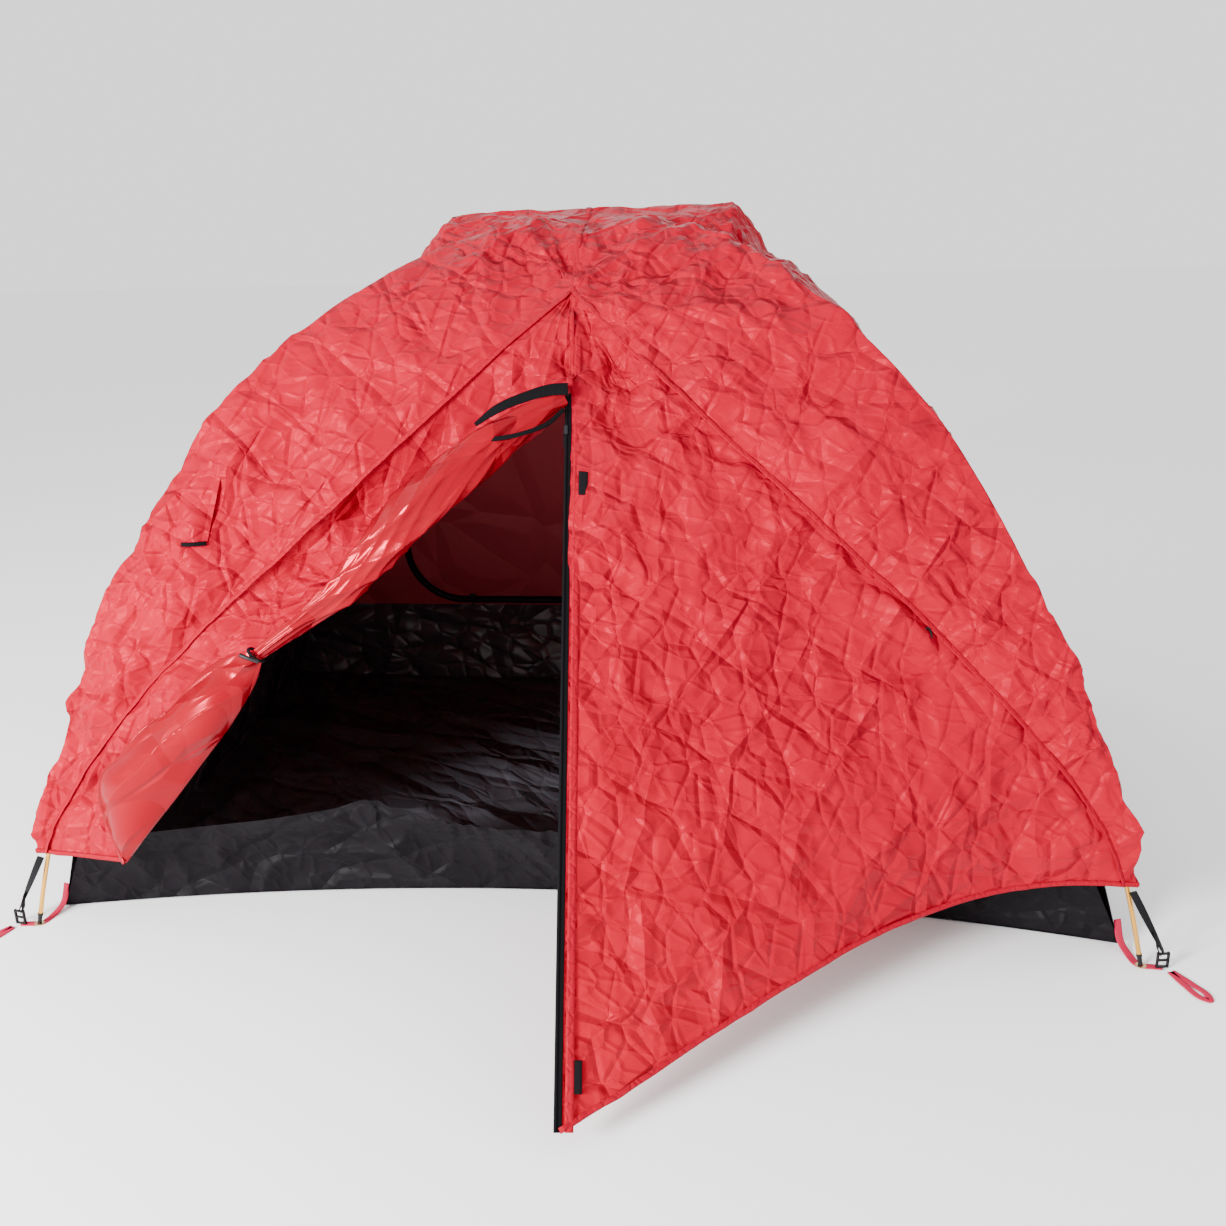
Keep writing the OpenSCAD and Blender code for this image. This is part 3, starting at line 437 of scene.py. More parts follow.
def crumpleBump(nodes, links, shader, layers, weave=0.0):
    # each layer: cells per metre, stretch along its own line, turn of that line, steepness, width of a
    # crease as a share of a cell; a negative steepness stands the creases up as ridges
    height = None
    for scale, stretch, turn, steep, width in layers:
        coord = nodes.new("ShaderNodeTexCoord")
        mapping = nodes.new("ShaderNodeMapping")
        mapping.vector_type = "TEXTURE"
        mapping.inputs["Rotation"].default_value = turn
        mapping.inputs["Scale"].default_value = (stretch, 1, 1)
        links.new(coord.outputs["Object"], mapping.inputs["Vector"])
        cells = nodes.new("ShaderNodeTexVoronoi")
        cells.feature = "DISTANCE_TO_EDGE"
        cells.inputs["Scale"].default_value = scale
        bent = warped(nodes, links, mapping.outputs["Vector"], scale * 0.5, 0.14 / scale)
        links.new(bent, cells.inputs["Vector"])
        near = math2(nodes, links, "SMOOTH_MIN", cells.outputs["Distance"], width)
        near.node.inputs[2].default_value = width * 0.4
        part = math2(nodes, links, "MULTIPLY", near, steep / scale)
        height = part if height is None else math2(nodes, links, "ADD", height, part)
    calm = nodes.new("ShaderNodeTexNoise")  # some parts of a cloth are flatter than others
    calm.inputs["Scale"].default_value = 3.2
    links.new(place(nodes, links, (1, 1, 1.4)), calm.inputs["Vector"])
    share = math2(nodes, links, "ADD", math2(nodes, links, "MULTIPLY", calm.outputs["Fac"], 1.7), 0.1)
    height = math2(nodes, links, "MULTIPLY", height, share)
    if weave:
        noise = nodes.new("ShaderNodeTexNoise")
        noise.inputs["Scale"].default_value = 2400
        links.new(place(nodes, links, (1, 1, 1)), noise.inputs["Vector"])
        height = math2(nodes, links, "ADD", height, math2(nodes, links, "MULTIPLY", noise.outputs["Fac"],
            weave))
    bump = nodes.new("ShaderNodeBump")
    bump.inputs["Strength"].default_value = 1.0
    bump.inputs["Distance"].default_value = 1.0
    links.new(height, bump.inputs["Height"])
    links.new(bump.outputs["Normal"], shader.inputs["Normal"])


flyLook = {
    "colour": (0.335, 0.0003, 0.015),
    "inside": (0.21, 0.0003, 0.007),
    "rough": 0.40,
    "sheen": 0.0,
    "glow": 0.12,  # share of light that comes through the cloth
}


def flyMaterial(name, slot, colour, rough, glow, bumps, sheen, shine=0.32):
    mat, nodes, links, shader = material(
        name, slot, colour, rough, Sheen_Weight=sheen, Sheen_Roughness=0.35, Sheen_Tint=(1.0, 0.5, 0.5, 1),
        Specular_IOR_Level=shine, Specular_Tint=(1.0, 0.08, 0.11, 1))
    crumpleBump(nodes, links, shader, bumps, weave=0.00003)
    # slow colour drift over the cloth
    noise = nodes.new("ShaderNodeTexNoise")
    noise.inputs["Scale"].default_value = 5
    noise.inputs["Detail"].default_value = 4
    links.new(place(nodes, links, (1, 1, 1)), noise.inputs["Vector"])
    mixer = nodes.new("ShaderNodeMix")
    mixer.data_type = "RGBA"
    mixer.inputs["A"].default_value = (*[c * 0.86 for c in colour], 1)
    mixer.inputs["B"].default_value = (*[min(1, c * 1.12) for c in colour], 1)
    links.new(noise.outputs["Fac"], mixer.inputs["Factor"])
    links.new(mixer.outputs["Result"], shader.inputs["Base Color"])
    through = nodes.new("ShaderNodeBsdfTranslucent")
    through.inputs["Color"].default_value = (0.7, 0.01, 0.01, 1)
    blendNode = nodes.new("ShaderNodeMixShader")
    blendNode.inputs["Fac"].default_value = glow
    links.new(shader.outputs["BSDF"], blendNode.inputs[1])
    links.new(through.outputs["BSDF"], blendNode.inputs[2])
    links.new(blendNode.outputs["Shader"], nodes["Material Output"].inputs["Surface"])
    return mat


flyBumps = [
    (3.0, 2.0, (0, -0.95, 0), -0.14, 0.5),
    (8, 2.4, (0, -0.85, 0.3), -0.46, 0.13),
    (11, 2.0, (0, 0.6, 0.2), 0.46, 0.12),
    (20, 1.9, (0, -1.2, 0), 0.48, 0.13),
    (30, 1.7, (0, 0.2, 0), -0.38, 0.15),
]
flyMat = flyMaterial("flyCloth", "fly_fabric", flyLook["colour"], flyLook["rough"], flyLook["glow"],
                     flyBumps, flyLook["sheen"])
flyInsideMat = flyMaterial("flyInsideCloth", "fly_inside", flyLook["inside"], 0.22, 0.08,
                           [(6, 3.2, (0, -0.66, 0), -0.45, 0.22), (11, 3.0, (0, -0.5, 0), 0.40, 0.2)], 0.0, 0.9)
seamMat = flyMaterial("flySeam", "fly_fabric", (0.29, 0.0003, 0.013), 0.5, 0.04, [(60, 1, (0, 0, 0), 0.3, 0.2)],
                      0.0)


def addStitch(mat, rows, pitch=0.0042, depth=0.0005):
    nodes, links = mat.node_tree.nodes, mat.node_tree.links
    shader = nodes["Principled BSDF"]
    bump = next(n for n in nodes if n.type == "BUMP")
    old = bump.inputs["Height"].links[0].from_socket
    uv = nodes.new("ShaderNodeUVMap")
    uv.uv_map = "Cloth"
    split3 = nodes.new("ShaderNodeSeparateXYZ")
    links.new(uv.outputs["UV"], split3.inputs[0])
    dash = math2(nodes, links, "SINE", math2(nodes, links, "MULTIPLY", split3.outputs["Y"],
                                             2 * math.pi / pitch), 0)
    dash = math2(nodes, links, "GREATER_THAN", dash, -0.3)
    total = None
    for row in rows:
        away = math2(nodes, links, "ABSOLUTE", math2(nodes, links, "SUBTRACT", split3.outputs["X"], row), 0)
        line = math2(nodes, links, "LESS_THAN", away, 0.0007)
        total = line if total is None else math2(nodes, links, "MAXIMUM", total, line)
    stitch = math2(nodes, links, "MULTIPLY", math2(nodes, links, "MULTIPLY", dash, total), -depth)
    links.new(math2(nodes, links, "ADD", old, stitch), bump.inputs["Height"])


innerMat, iN, iL, iS = material("innerCloth", "inner_fabric", (0.30, 0.020, 0.035), 0.7)
crumpleBump(iN, iL, iS, [(5, 1.5, (0, 1.2, 0), 0.3, 0.2)])
innerRollMat, rN, rL, rS = material("innerRollCloth", "inner_fabric", (0.28, 0.012, 0.018), 0.6)
crumpleBump(rN, rL, rS, [(20, 3, (0, 1.4, 0), 0.5, 0.2)])
# painted light: the room-side groundsheet fabric (floor and tub walls) gets a lighter base colour that stands
# in for light not reaching inside the tent
groundPaintedLightMat, gN, gL, gS = material(
    "groundsheetClothPaintedLight", "groundsheet_fabric", (0.034, 0.034, 0.040), 0.36, Specular_IOR_Level=0.5)
crumpleBump(gN, gL, gS, [(4, 3.0, (0, 0, -0.65), -0.5, 0.2), (9, 3.0, (0, 0, -0.5), 0.55, 0.15),
                         (20, 2.2, (0, 0, -0.8), 0.4, 0.15)])
# darker copy of the same groundsheet fabric for the front tub wall, where the key light falls; the room-side
# copy above is painted lighter
frontMat, fN, fL, fS = material(
    "tubCloth", "groundsheet_fabric", (0.0045, 0.0034, 0.0048), 0.55, Specular_IOR_Level=0.08)
crumpleBump(fN, fL, fS, [(5, 2.4, (0, 0.6, 0), -0.45, 0.3), (12, 1.8, (0, -0.4, 0), 0.4, 0.18),
                         (26, 1.5, (0, 1.0, 0), -0.3, 0.18)])
poleMat, *_ = material("goldTube", "pole_tube", (0.72, 0.36, 0.06), 0.28, Metallic=0.85)
insertMat, *_ = material("insertTube", "insert_tube", (0.6, 0.6, 0.62), 0.3, Metallic=1.0)
plasticMat, *_ = material("blackPlastic", "black_plastic", (0.008, 0.008, 0.009), 0.45, Specular_IOR_Level=0.2)
cordMat, *_ = material("elasticCord", "elastic_cord", (0.01, 0.01, 0.01), 0.8)
metalMat, *_ = material("blackMetal", "zip_metal", (0.02, 0.02, 0.022), 0.3, Metallic=0.6)
brassMat, *_ = material("eyeletBrass", "eyelet_brass", (0.55, 0.42, 0.2), 0.3, Metallic=1.0)


def weaveMaterial(name, slot, colour, rough=0.7):
    mat, nodes, links, shader = material(name, slot, colour, rough, Specular_IOR_Level=0.08)
    uv = nodes.new("ShaderNodeUVMap")
    uv.uv_map = "Cloth"
    wave = nodes.new("ShaderNodeTexWave")
    wave.bands_direction = "DIAGONAL"
    wave.inputs["Scale"].default_value = 180
    links.new(uv.outputs["UV"], wave.inputs["Vector"])
    bump = nodes.new("ShaderNodeBump")
    bump.inputs["Strength"].default_value = 0.6
    bump.inputs["Distance"].default_value = 0.0004
    links.new(wave.outputs["Fac"], bump.inputs["Height"])
    links.new(bump.outputs["Normal"], shader.inputs["Normal"])
    return mat


tapeMat = weaveMaterial("zipTape", "zip_tape", (0.0025, 0.0022, 0.0030), 0.8)
webMat = weaveMaterial("blackWebbing", "black_webbing", (0.006, 0.006, 0.007), 0.6)
crimsonMat = weaveMaterial("crimsonWebbing", "crimson_webbing", (0.42, 0.008, 0.045), 0.6)
hookMat = weaveMaterial("hookTape", "hook_tape", (0.006, 0.005, 0.006), 0.9)
print("materials made")


# ---- the fly: one sheet round the tent, from door seam to door seam ----
flySize = {"columns": (110, 84, 84, 84, 110), "rowsBelow": 120, "rowsRoof": 56, "sag": 0.016, "hemBow": 0.018}


def bulge(f):  # how far a panel sags in between two legs
    return flySize["sag"] * 4 * f * (1 - f)


def flyRow(z, fractions):
    w, d = float(legReach(z, gap)) * shareX, float(legReach(z, gap)) * shareY
    sx = float(seamX(min(z, splitZ)))
    nF, nS, nB, nT, nG = fractions
    deep = min(1.0, (splitZ + 0.08 - z) / 0.5)
    rows = []
    rows.append(np.stack([lerp(sx, w, nF), -d + 0 * nF, z + 0 * nF], -1))
    rows.append(np.stack([w - deep * bulge(nS), lerp(-d, d, nS), z + 0 * nS], -1))
    rows.append(np.stack([lerp(w, -w, nB), d - deep * bulge(nB), z + 0 * nB], -1))
    rows.append(np.stack([-w + deep * bulge(nT), lerp(d, -d, nT), z + 0 * nT], -1))
    rows.append(np.stack([lerp(-w, -sx, nG), -d + 0 * nG, z + 0 * nG], -1))
    return np.concatenate(rows)


def roofHeight(x, y):
    dome = domeHeight(x, y, gap)
    # lift of pole B, pole, clearance, half the ridge pole, clearance to the fly
    ridgeTop = tent["top"] + 0.0099 + 0.0085 + 0.003 + 0.00425 + 0.008
    # the ridge falls away to the front and back, and steeply past its ends
    ridge = (ridgeTop - 0.52 * np.abs(y) * (1 - 0.18 * np.sin(math.pi * np.clip(np.abs(y) / 0.3, 0, 1)))
             - 1.25 * np.maximum(0, np.abs(x) - tent["ridgeHalf"] - 0.013))
    inside = smooth(np.maximum(np.abs(x) / 0.426, np.abs(y) / 0.302), 1.0, 0.8)
    soft = (dome + ridge + np.sqrt((dome - ridge) ** 2 + 0.012**2)) / 2
    return np.where(inside > 0, lerp(dome, soft, inside), dome)


fractions = []
for part, n in enumerate(flySize["columns"]):
    f = np.linspace(0, 1, n)
    fractions.append(f if part == 4 else f[:-1])
below = np.stack([flyRow(z, fractions) for z in np.linspace(hemZ, splitZ, flySize["rowsBelow"])])
rim = below[-1]
ridgeEnd = tent["ridgeHalf"] + 0.012
ridgeX = rim[:, 0] * ridgeEnd / np.abs(rim[:, 0]).max()
ridgeFoot = np.stack([np.clip(ridgeX, -ridgeEnd, ridgeEnd), 0 * rim[:, 1]], -1)
steps = np.linspace(0, 1, flySize["rowsRoof"] + 1)[1:]
xy = rim[None, :, :2] + (ridgeFoot[None] - rim[None, :, :2]) * steps[:, None, None]
roof = np.concatenate([xy, roofHeight(xy[..., 0], xy[..., 1])[..., None]], -1)
flyBase = np.concatenate([below, roof])
# the hem rises a little between the corners
rise = smooth(flyBase[..., 2], hemZ + 0.25, hemZ)
side = np.concatenate([0 * fractions[0], *(4 * f * (1 - f) for f in fractions[1:4]), 0 * fractions[4]])
flyBase[..., 2] += flySize["hemBow"] * rise * side
flyCreases = makeCreases(3, crumple["creases"], flyBase.reshape(-1, 3)[::17])
hemHold = 0.35 + 0.65 * smooth(flyBase[..., 2], hemZ, hemZ + 0.06)
toRidge = np.hypot(np.maximum(0, np.abs(flyBase[..., 0]) - 0.28), flyBase[..., 1])
ridgeHold = 0.25 + 0.75 * smooth(toRidge, 0.0, 0.12)
flyGrid = cloth(flyBase, flyCreases, hemHold * ridgeHold)
flyMain = gridMesh("flyMain", flyGrid, flyMat)
print("fly:", flyGrid.shape, "flat area", round(gridArea(flyBase), 3))

# ---- right porch door: from the centre line to the right seam, down to the curved hem ----
rows, cols = 190, 150
s = np.linspace(0.0, 1, rows)
u = np.linspace(0, 1, cols)
leftEdge = lerp(split, tip, s[:, None])
rightEdge = seamPoint(lerp(splitZ, hemZ, s))
hemEdge = bezier(hemCurve, 1 - u)
doorBase = lerp(leftEdge[:, None], rightEdge[:, None], u[None, :, None])
doorBase = doorBase + (hemEdge - lerp(tip, corner, u[:, None]))[None] * (s**3)[:, None, None]
inner = 4 * u * (1 - u)
doorBase[..., 1] += 0.012 * (inner[None] * (s * (1 - s) * 4)[:, None])
doorCreases = makeCreases(11, crumple["doorCreases"], doorBase.reshape(-1, 3)[::13], 0.8)
allCreases = [np.concatenate([a, b]) for a, b in zip(flyCreases, doorCreases)]
zipHold = 0.12 + 0.88 * smooth(distanceTo(doorBase, zipLine), 0.0, 0.07)
hemHold = 0.35 + 0.65 * smooth(1 - s, 0, 0.08)[:, None]
doorGrid = cloth(doorBase, allCreases, zipHold * hemHold)
porchRight = gridMesh("porchRight", doorGrid, flyMat, flip=True)
print("porch door: flat area", round(gridArea(doorBase), 3))

# ---- left gusset: between the left seam and the line of the rolled door ----
rows, cols = 150, 90
s = np.linspace(0, 1, rows)
foldPath = resample([split, zipTop, lerp(zipTop, tie, 0.35) + vec(0, -0.012, -0.012), lerp(zipTop, tie,
    0.7) + vec(0, -0.01, -0.012),
                     tie, lerp(tie, flapTip, 0.3) + vec(-0.02, 0, 0), lerp(tie, flapTip, 0.65) + vec(-0.05,
                         0.01, 0), flapTip], 300)
foldS = np.interp(s, [0, 0.16, 0.6, 1], [0, 0.16, 0.6, 1])
kRun = np.concatenate([[0], np.cumsum(np.linalg.norm(np.diff(foldPath, axis=0), axis=1))])
kRun /= kRun[-1]
foldEdge = np.stack([np.interp(foldS, kRun, foldPath[:, k]) for k in range(3)], -1)
seamEdge = seamPoint(lerp(splitZ, hemZ, s)) * mirrorX
u = np.linspace(0, 1, cols)
gussetBase = lerp(foldEdge[:, None], seamEdge[:, None], u[None, :, None])
valley = smooth(s, 0.06, 0.2) * (1 - smooth(s, 0.48, 0.66))
gussetBase[..., 1] += 0.040 * (4 * u * (1 - u))[None] * valley[:, None]
gussetGrid = cloth(gussetBase, allCreases, (0.35 + 0.65 * smooth(1 - s, 0, 0.06))[:, None])
leftGusset = gridMesh("leftGusset", gussetGrid, flyMat)
print("gusset made")

# ---- rolled door: a loose roll from the top of the zip to the tie ----
rollShape = {"twist": 4.0, "wrinkle": 0.0036, "radius": [0.016, 0.027, 0.038, 0.042, 0.040, 0.034, 0.026, 0.016,
    0.0115]}
n, m = 240, 84
path = resample([zipTop + vec(-0.010, -0.020, -0.004), vec(-0.066, -0.512, 0.932), vec(-0.119, -0.542, 0.900),
                 vec(-0.177, -0.570, 0.856),
                 vec(-0.243, -0.597, 0.798), vec(-0.323, -0.620, 0.718), vec(-0.396, -0.638, 0.646),
                 vec(-0.470, -0.652, 0.593),
                 tie + vec(0.004, -0.014, 0.0)], n)
t = np.linspace(0, 1, n)
radius = resample(np.stack([np.linspace(0, 1, 9), rollShape["radius"]], -1), n)[:, 1]
d = unit(np.gradient(path, axis=0))
side = unit(np.cross(d, vec(0, -1, 0.25)))
up = np.cross(side, d)
a = np.linspace(0, 2 * math.pi, m, endpoint=False)
helix = a[None] + rollShape["twist"] * t[:, None]
shape = 1 + 0.08 * np.sin(2 * a[None] + 3 * t[:, None]) + 0.06 * np.sin(3 * helix + 1.0)
wrinkle = rollShape["wrinkle"] * (1 - 2 * np.abs(np.sin(2.5 * helix + 2.2 * np.sin(9 * t[:, None]))) ** 0.6)
fine = 5 * a[None] - 14 * t[:, None] + 2 * np.sin(7 * t[:, None])
wrinkle = wrinkle + 0.0016 * (1 - 2 * np.abs(np.sin(fine)) ** 0.6)
wrinkle = wrinkle * (0.4 + 0.6 * np.sin(math.pi * t)[:, None])
rr = radius[:, None] * shape + wrinkle
rollGrid = path[:, None] + rr[..., None] * (
    side[:, None] * np.cos(a)[None, :, None] + up[:, None] * np.sin(a)[None, :, None] * 0.72)
rolledDoor = gridMesh("rolledDoor", rollGrid, flyInsideMat, ring=True)

# ---- the lapel below the tie, with its inner side turned out ----
lapelLeft = resample([tie + vec(-0.014, -0.012, 0.006), vec(-0.642, -0.648, 0.514), vec(-0.686, -0.662, 0.478),
                      vec(-0.725, -0.674, 0.433),
                      vec(-0.777, -0.685, 0.396), vec(-0.823, -0.698, 0.347), vec(-0.858, -0.705, 0.315),
                      vec(-0.866, -0.712, 0.284),
                      vec(-0.857, -0.722, 0.229), vec(-0.841, -0.730, 0.186), flapTip + vec(-0.004, -0.010,
                          0.002)], 160)
lapelRight = resample([tie + vec(0.010, -0.010, -0.016), vec(-0.557, -0.655, 0.486), vec(-0.600, -0.675, 0.415),
                       vec(-0.668, -0.695, 0.33),
                       vec(-0.724, -0.710, 0.261), vec(-0.765, -0.720, 0.213), flapTip + vec(0.002, -0.004, 0)],
                       160)
t = np.linspace(0, 1, 160)[:, None]
u = np.linspace(0, 1, 70)[None]
bulgeOut = 0.050 * np.sin(math.pi * t) ** 0.6 * (1 - 0.55 * t) * np.sin(math.pi * u) ** 0.7
ripple = (0.0035 * np.sin(math.pi * u)
          * (1 - 2 * np.abs(np.sin(4.2 * u + 9 * t + 1.5 * np.sin(6 * t))) ** 0.6) * (1 - 0.5 * t))
lapelBase = lerp(lapelLeft[:, None], lapelRight[:, None], u[..., None])
lapelBase = lapelBase + (bulgeOut + ripple)[..., None] * vec(0.15, -0.96, 0.22)
doorFlap = gridMesh("doorFlap", lapelBase, flyInsideMat)
print("rolled door and lapel made")

# ---- inner room ----
ig = -tent["innerGap"]
tubZ, topZin = tent["tubHeight"] - 0.004, tent["innerTop"]


def wallSheet(side, rows, cols, z0, z1, sag=0.012):
    z = np.linspace(z0, z1, rows)[:, None]
    u = np.linspace(-1, 1, cols)[None]
    r = legReach(z, ig)
    hang = sag * (1 - u**2) * np.sin(math.pi * (z - z0) / (z1 - z0))
    sx = 1 if side == "R" else -1
    return np.stack([sx * (r * shareX + 0 * u - hang), (r * shareY) * u, z + 0 * u], -1)


def ringSheet(outline, wall, rows):  # rows from a hole's outline out to the wall's edge
    r = np.linspace(0, 1, rows)[:, None, None]
    return lerp(outline[None], wall[None], r)


def onBack(xz, sign=1):
    return np.stack([xz[..., 0], sign * legReach(xz[..., 1], ig) * shareY, xz[..., 1]], -1)


def arcPoints(cx, cz, r, a0, a1, n):
    a = np.radians(np.linspace(a0, a1, n))
    return np.stack([cx + r * np.cos(a), cz + r * np.sin(a)], -1)


backDoorSize = {"left": -0.63, "hinge": 0.23, "sill": 0.238, "top": 0.878, "cornerRadius": 0.15,
                "archRadius": 0.352}
b = backDoorSize
outline = np.concatenate([
    np.stack([np.linspace(b["hinge"], b["left"] + b["cornerRadius"], 30), np.full(30, b["sill"])], -1),
    arcPoints(b["left"] + b["cornerRadius"], b["sill"] + b["cornerRadius"], b["cornerRadius"], 270, 180,
              24)[1:],
    np.stack([np.full(8, b["left"]), np.linspace(b["sill"] + b["cornerRadius"], b["top"] - b["archRadius"], 8)],
             -1)[1:],
    arcPoints(b["left"] + b["archRadius"], b["top"] - b["archRadius"], b["archRadius"], 180, 90, 34)[1:],
    np.stack([np.linspace(b["left"] + b["archRadius"], b["hinge"], 24), np.full(24, b["top"])], -1)[1:],
    np.stack([np.full(24, b["hinge"]), np.linspace(b["top"], b["sill"], 24)], -1)[1:-1],
])


def wallEdge(outline, z0, z1):  # where each outline point, sent straight out, meets the wall's edge
    c = outline.mean(0)
    d = outline - c
    zz = np.linspace(z0, z1, 60)
    w = legReach(zz, ig) * shareX
    edge = np.concatenate([np.stack([np.linspace(-w[0], w[0], 80), np.full(80, z0)], -1), np.stack([w, zz], -1),
                           np.stack([np.linspace(w[-1], -w[-1], 60), np.full(60, z1)], -1),
                           np.stack([-w[::-1], zz[::-1]], -1)])
    e = np.arctan2(edge[:, 1] - c[1], edge[:, 0] - c[0])
    order = np.argsort(e)
    e, edge = e[order], edge[order]
    want = np.arctan2(d[:, 1], d[:, 0])
    turns = np.concatenate([e - 2 * math.pi, e, e + 2 * math.pi])
    return np.stack([np.interp(want, turns, np.tile(edge[:, k], 3)) for k in range(2)], -1)


backGrid = onBack(ringSheet(outline, wallEdge(outline, tubZ, topZin), 30))
innerBack = gridMesh("innerBack", backGrid, innerMat, ring=True)
centre = outline.mean(0)
doorOut = centre + (outline - centre) * (1 - 0.005)
backDoorGrid = onBack(lerp(centre[None, None], doorOut[None], np.linspace(0.001, 1, 24)[:, None, None]))
backDoor = gridMesh("backDoor", backDoorGrid, innerMat, ring=True)

az = np.linspace(tubZ, topZin - 0.16, 30)
aw = legReach(az, ig) * shareX
archOutline = np.concatenate([np.stack([aw - 0.07, az], -1), np.stack([np.linspace(aw[-1] - 0.13,
    -aw[-1] + 0.13, 30), np.full(30, topZin - 0.09)], -1),
                              np.stack([-aw[::-1] + 0.07, az[::-1]], -1)])
topW = float(legReach(topZin, ig)) * shareX - 0.004
archWall = np.concatenate([np.stack([aw - 0.004, az], -1), np.stack([np.linspace(topW, -topW, 30),
    np.full(30, topZin)], -1),
                           np.stack([-aw[::-1] + 0.004, az[::-1]], -1)])
frontGrid = onBack(ringSheet(archOutline, archWall, 10), -1)
innerFront = gridMesh("innerFront", frontGrid, innerMat, flip=True)
innerLeft = gridMesh("innerLeft", wallSheet("L", 50, 40, tubZ, topZin), innerMat, flip=True)
innerRight = gridMesh("innerRight", wallSheet("R", 50, 40, tubZ, topZin), innerMat)
r0 = float(legReach(topZin, ig)) - 0.006
rx = np.linspace(-1, 1, 40)
X, Y = np.meshgrid(rx * r0 * shareX, rx * r0 * shareY)
roofRise = 0.004 * np.cos(X / (r0 * shareX) * math.pi / 2) * np.cos(Y / (r0 * shareY) * math.pi / 2)
roofGrid = np.stack([X, Y, domeHeight(X, Y, ig) + roofRise], -1)
innerRoof = gridMesh("innerRoof", roofGrid, innerMat)
zr = np.linspace(tubZ + 0.06, topZin - 0.12, 120)
reach = legReach(zr, -0.09)
rollPath = np.stack([reach * shareX - 0.024, -reach * shareY, zr], -1)
a = np.linspace(0, 2 * math.pi, 40, endpoint=False)
tt = np.linspace(0, 1, 120)
rad = (0.018 + 0.010 * np.sin(math.pi * tt))[:, None] * (1 + 0.12 * np.sin(3 * a[None] + 8 * tt[:, None]))
d = unit(np.gradient(rollPath, axis=0))
sd = unit(np.cross(d, vec(0, 1, 0)))
upv = np.cross(sd, d)
frontRollGrid = rollPath[:, None] + rad[..., None] * (
    sd[:, None] * np.cos(a)[None, :, None] + upv[:, None] * np.sin(a)[None, :, None])
frontDoorRoll = gridMesh("frontDoorRoll", frontRollGrid, innerRollMat, ring=True)

# ---- floor and tub ----
floorX, floorY, frontBow, sideBow = 1.007, 0.663, 0.120, 0.035
groundCreases = {"count": 260, "height": 0.006}


def frontEdgeY(x):
    return -floorY + frontBow * (1 - (x / floorX) ** 2)


def backEdgeY(x):
    return floorY - sideBow * (1 - (x / floorX) ** 2)


def sideEdgeX(y):
    return floorX - sideBow * (1 - (y / floorY) ** 2)


def flatCreases(seed, count, lo, hi, height, dirMean, spread, lengths, widths):
    r = np.random.default_rng(seed)
    c = r.uniform(lo, hi, (count, 3))
    angle = dirMean + r.normal(0, spread, count)
    n = np.stack([-np.sin(angle), np.cos(angle), 0 * angle], -1)
    t = np.stack([np.cos(angle), np.sin(angle), 0 * angle], -1)
    return (c, n, t, r.uniform(*lengths, count), r.uniform(*widths, count), height * r.uniform(0.3, 1, count),
            r.uniform(-0.6, 0.6, count))


U, V = np.meshgrid(np.linspace(-1, 1, 190), np.linspace(0, 1, 150))
fx = U * (floorX - sideBow * (1 - (2 * V - 1) ** 2))
fy = lerp(frontEdgeY(U * floorX), backEdgeY(U * floorX), V)
floorGrid = np.stack([fx, fy, np.full_like(fx, 0.0045)], -1)
up3 = creaseHeight(floorGrid, flatCreases(5, groundCreases["count"], (-0.95, -0.55, 0), (0.5, 0.6, 0.01), 0.007,
                                          -0.75, 0.45, (0.06, 0.4), (0.006, 0.022)))


def cornerFan(x0, y0, bend):  # folds that spread over the floor from one of its corners
    angle, r = np.arctan2(fy - y0, fx - x0), np.hypot(fy - y0, fx - x0)
    crest = 1 - 2 * np.abs(np.sin(9 * angle + bend * np.sin(3 * r))) ** 0.7
    return 0.009 * crest * smooth(r, 0.02, 0.2) * np.exp(-r / 0.6)


edgeHold = smooth(np.minimum(1 - np.abs(U), np.minimum(V, 1 - V) * 2), 0, 0.12)
fans = [cornerFan(-0.93, 0.62, 1.2), cornerFan(-0.95, -0.62, 1.0)]
floorGrid[..., 2] += (up3 + fans[0] + fans[1] + 0.008) * edgeHold
groundsheet = gridMesh("groundsheet", floorGrid, groundPaintedLightMat)

tubTopR = float(legReach(tent["tubHeight"], ig))


def tubFront(rows, cols):
    u = np.linspace(-1, 1, cols)[None]
    v = np.linspace(0, 1, rows)[:, None]
    rimX = [-1, -0.88, -0.62, -0.46, -0.41, -0.36, -0.26, -0.1, 0.1, 0.5, 0.85, 1]
    rimZ = [0.150, 0.168, 0.190, 0.214, 0.236, 0.214, 0.186, 0.172, 0.174, 0.195, 0.175, 0.150]
    topZf = np.interp(u, rimX, rimZ)
    soften = np.ones(9) / 9
    topZf = np.convolve(np.pad(topZf[0], 4, mode="edge"), soften, mode="valid")[None]
    x0, x1 = floorX * u, tubTopR * shareX * u
    y0 = frontEdgeY(x0) + 0.002
    y1 = -legReach(topZf, ig) * shareY + 0.5 * frontBow * (1 - u * u)
    g = np.stack([lerp(x0, x1, v), lerp(y0, y1, v), lerp(0.004, topZf, v)], -1)
    # slanting pleats, and small gathers along the stitched rim right of the peak
    x, z = g[..., 0], g[..., 2]
    pleat = (0.020 * (1 - 2 * np.abs(np.sin(7.5 * x + 6 * z + 1.2 * np.sin(4 * x))) ** 0.7)
             * np.sin(math.pi * np.clip(v, 0.02, 0.98)))
    gather = 0.004 * np.sin(150 * x + 3 * np.sin(31 * x)) * smooth(v, 0.55, 1.0) * smooth(x, -0.42, -0.36)
    crumples = (0.006 * (1 - 2 * np.abs(np.sin(23 * x - 19 * z + 2.5 * np.sin(9 * x + 11 * z))) ** 0.6)
                * np.sin(math.pi * v))
    g[..., 1] -= (pleat * 0.6 + gather + crumples) * smooth(1 - np.abs(u), 0.02, 0.2)
    return g


tubFrontGrid = tubFront(50, 260)
tubFrontObj = gridMesh("tubFront", tubFrontGrid, frontMat)


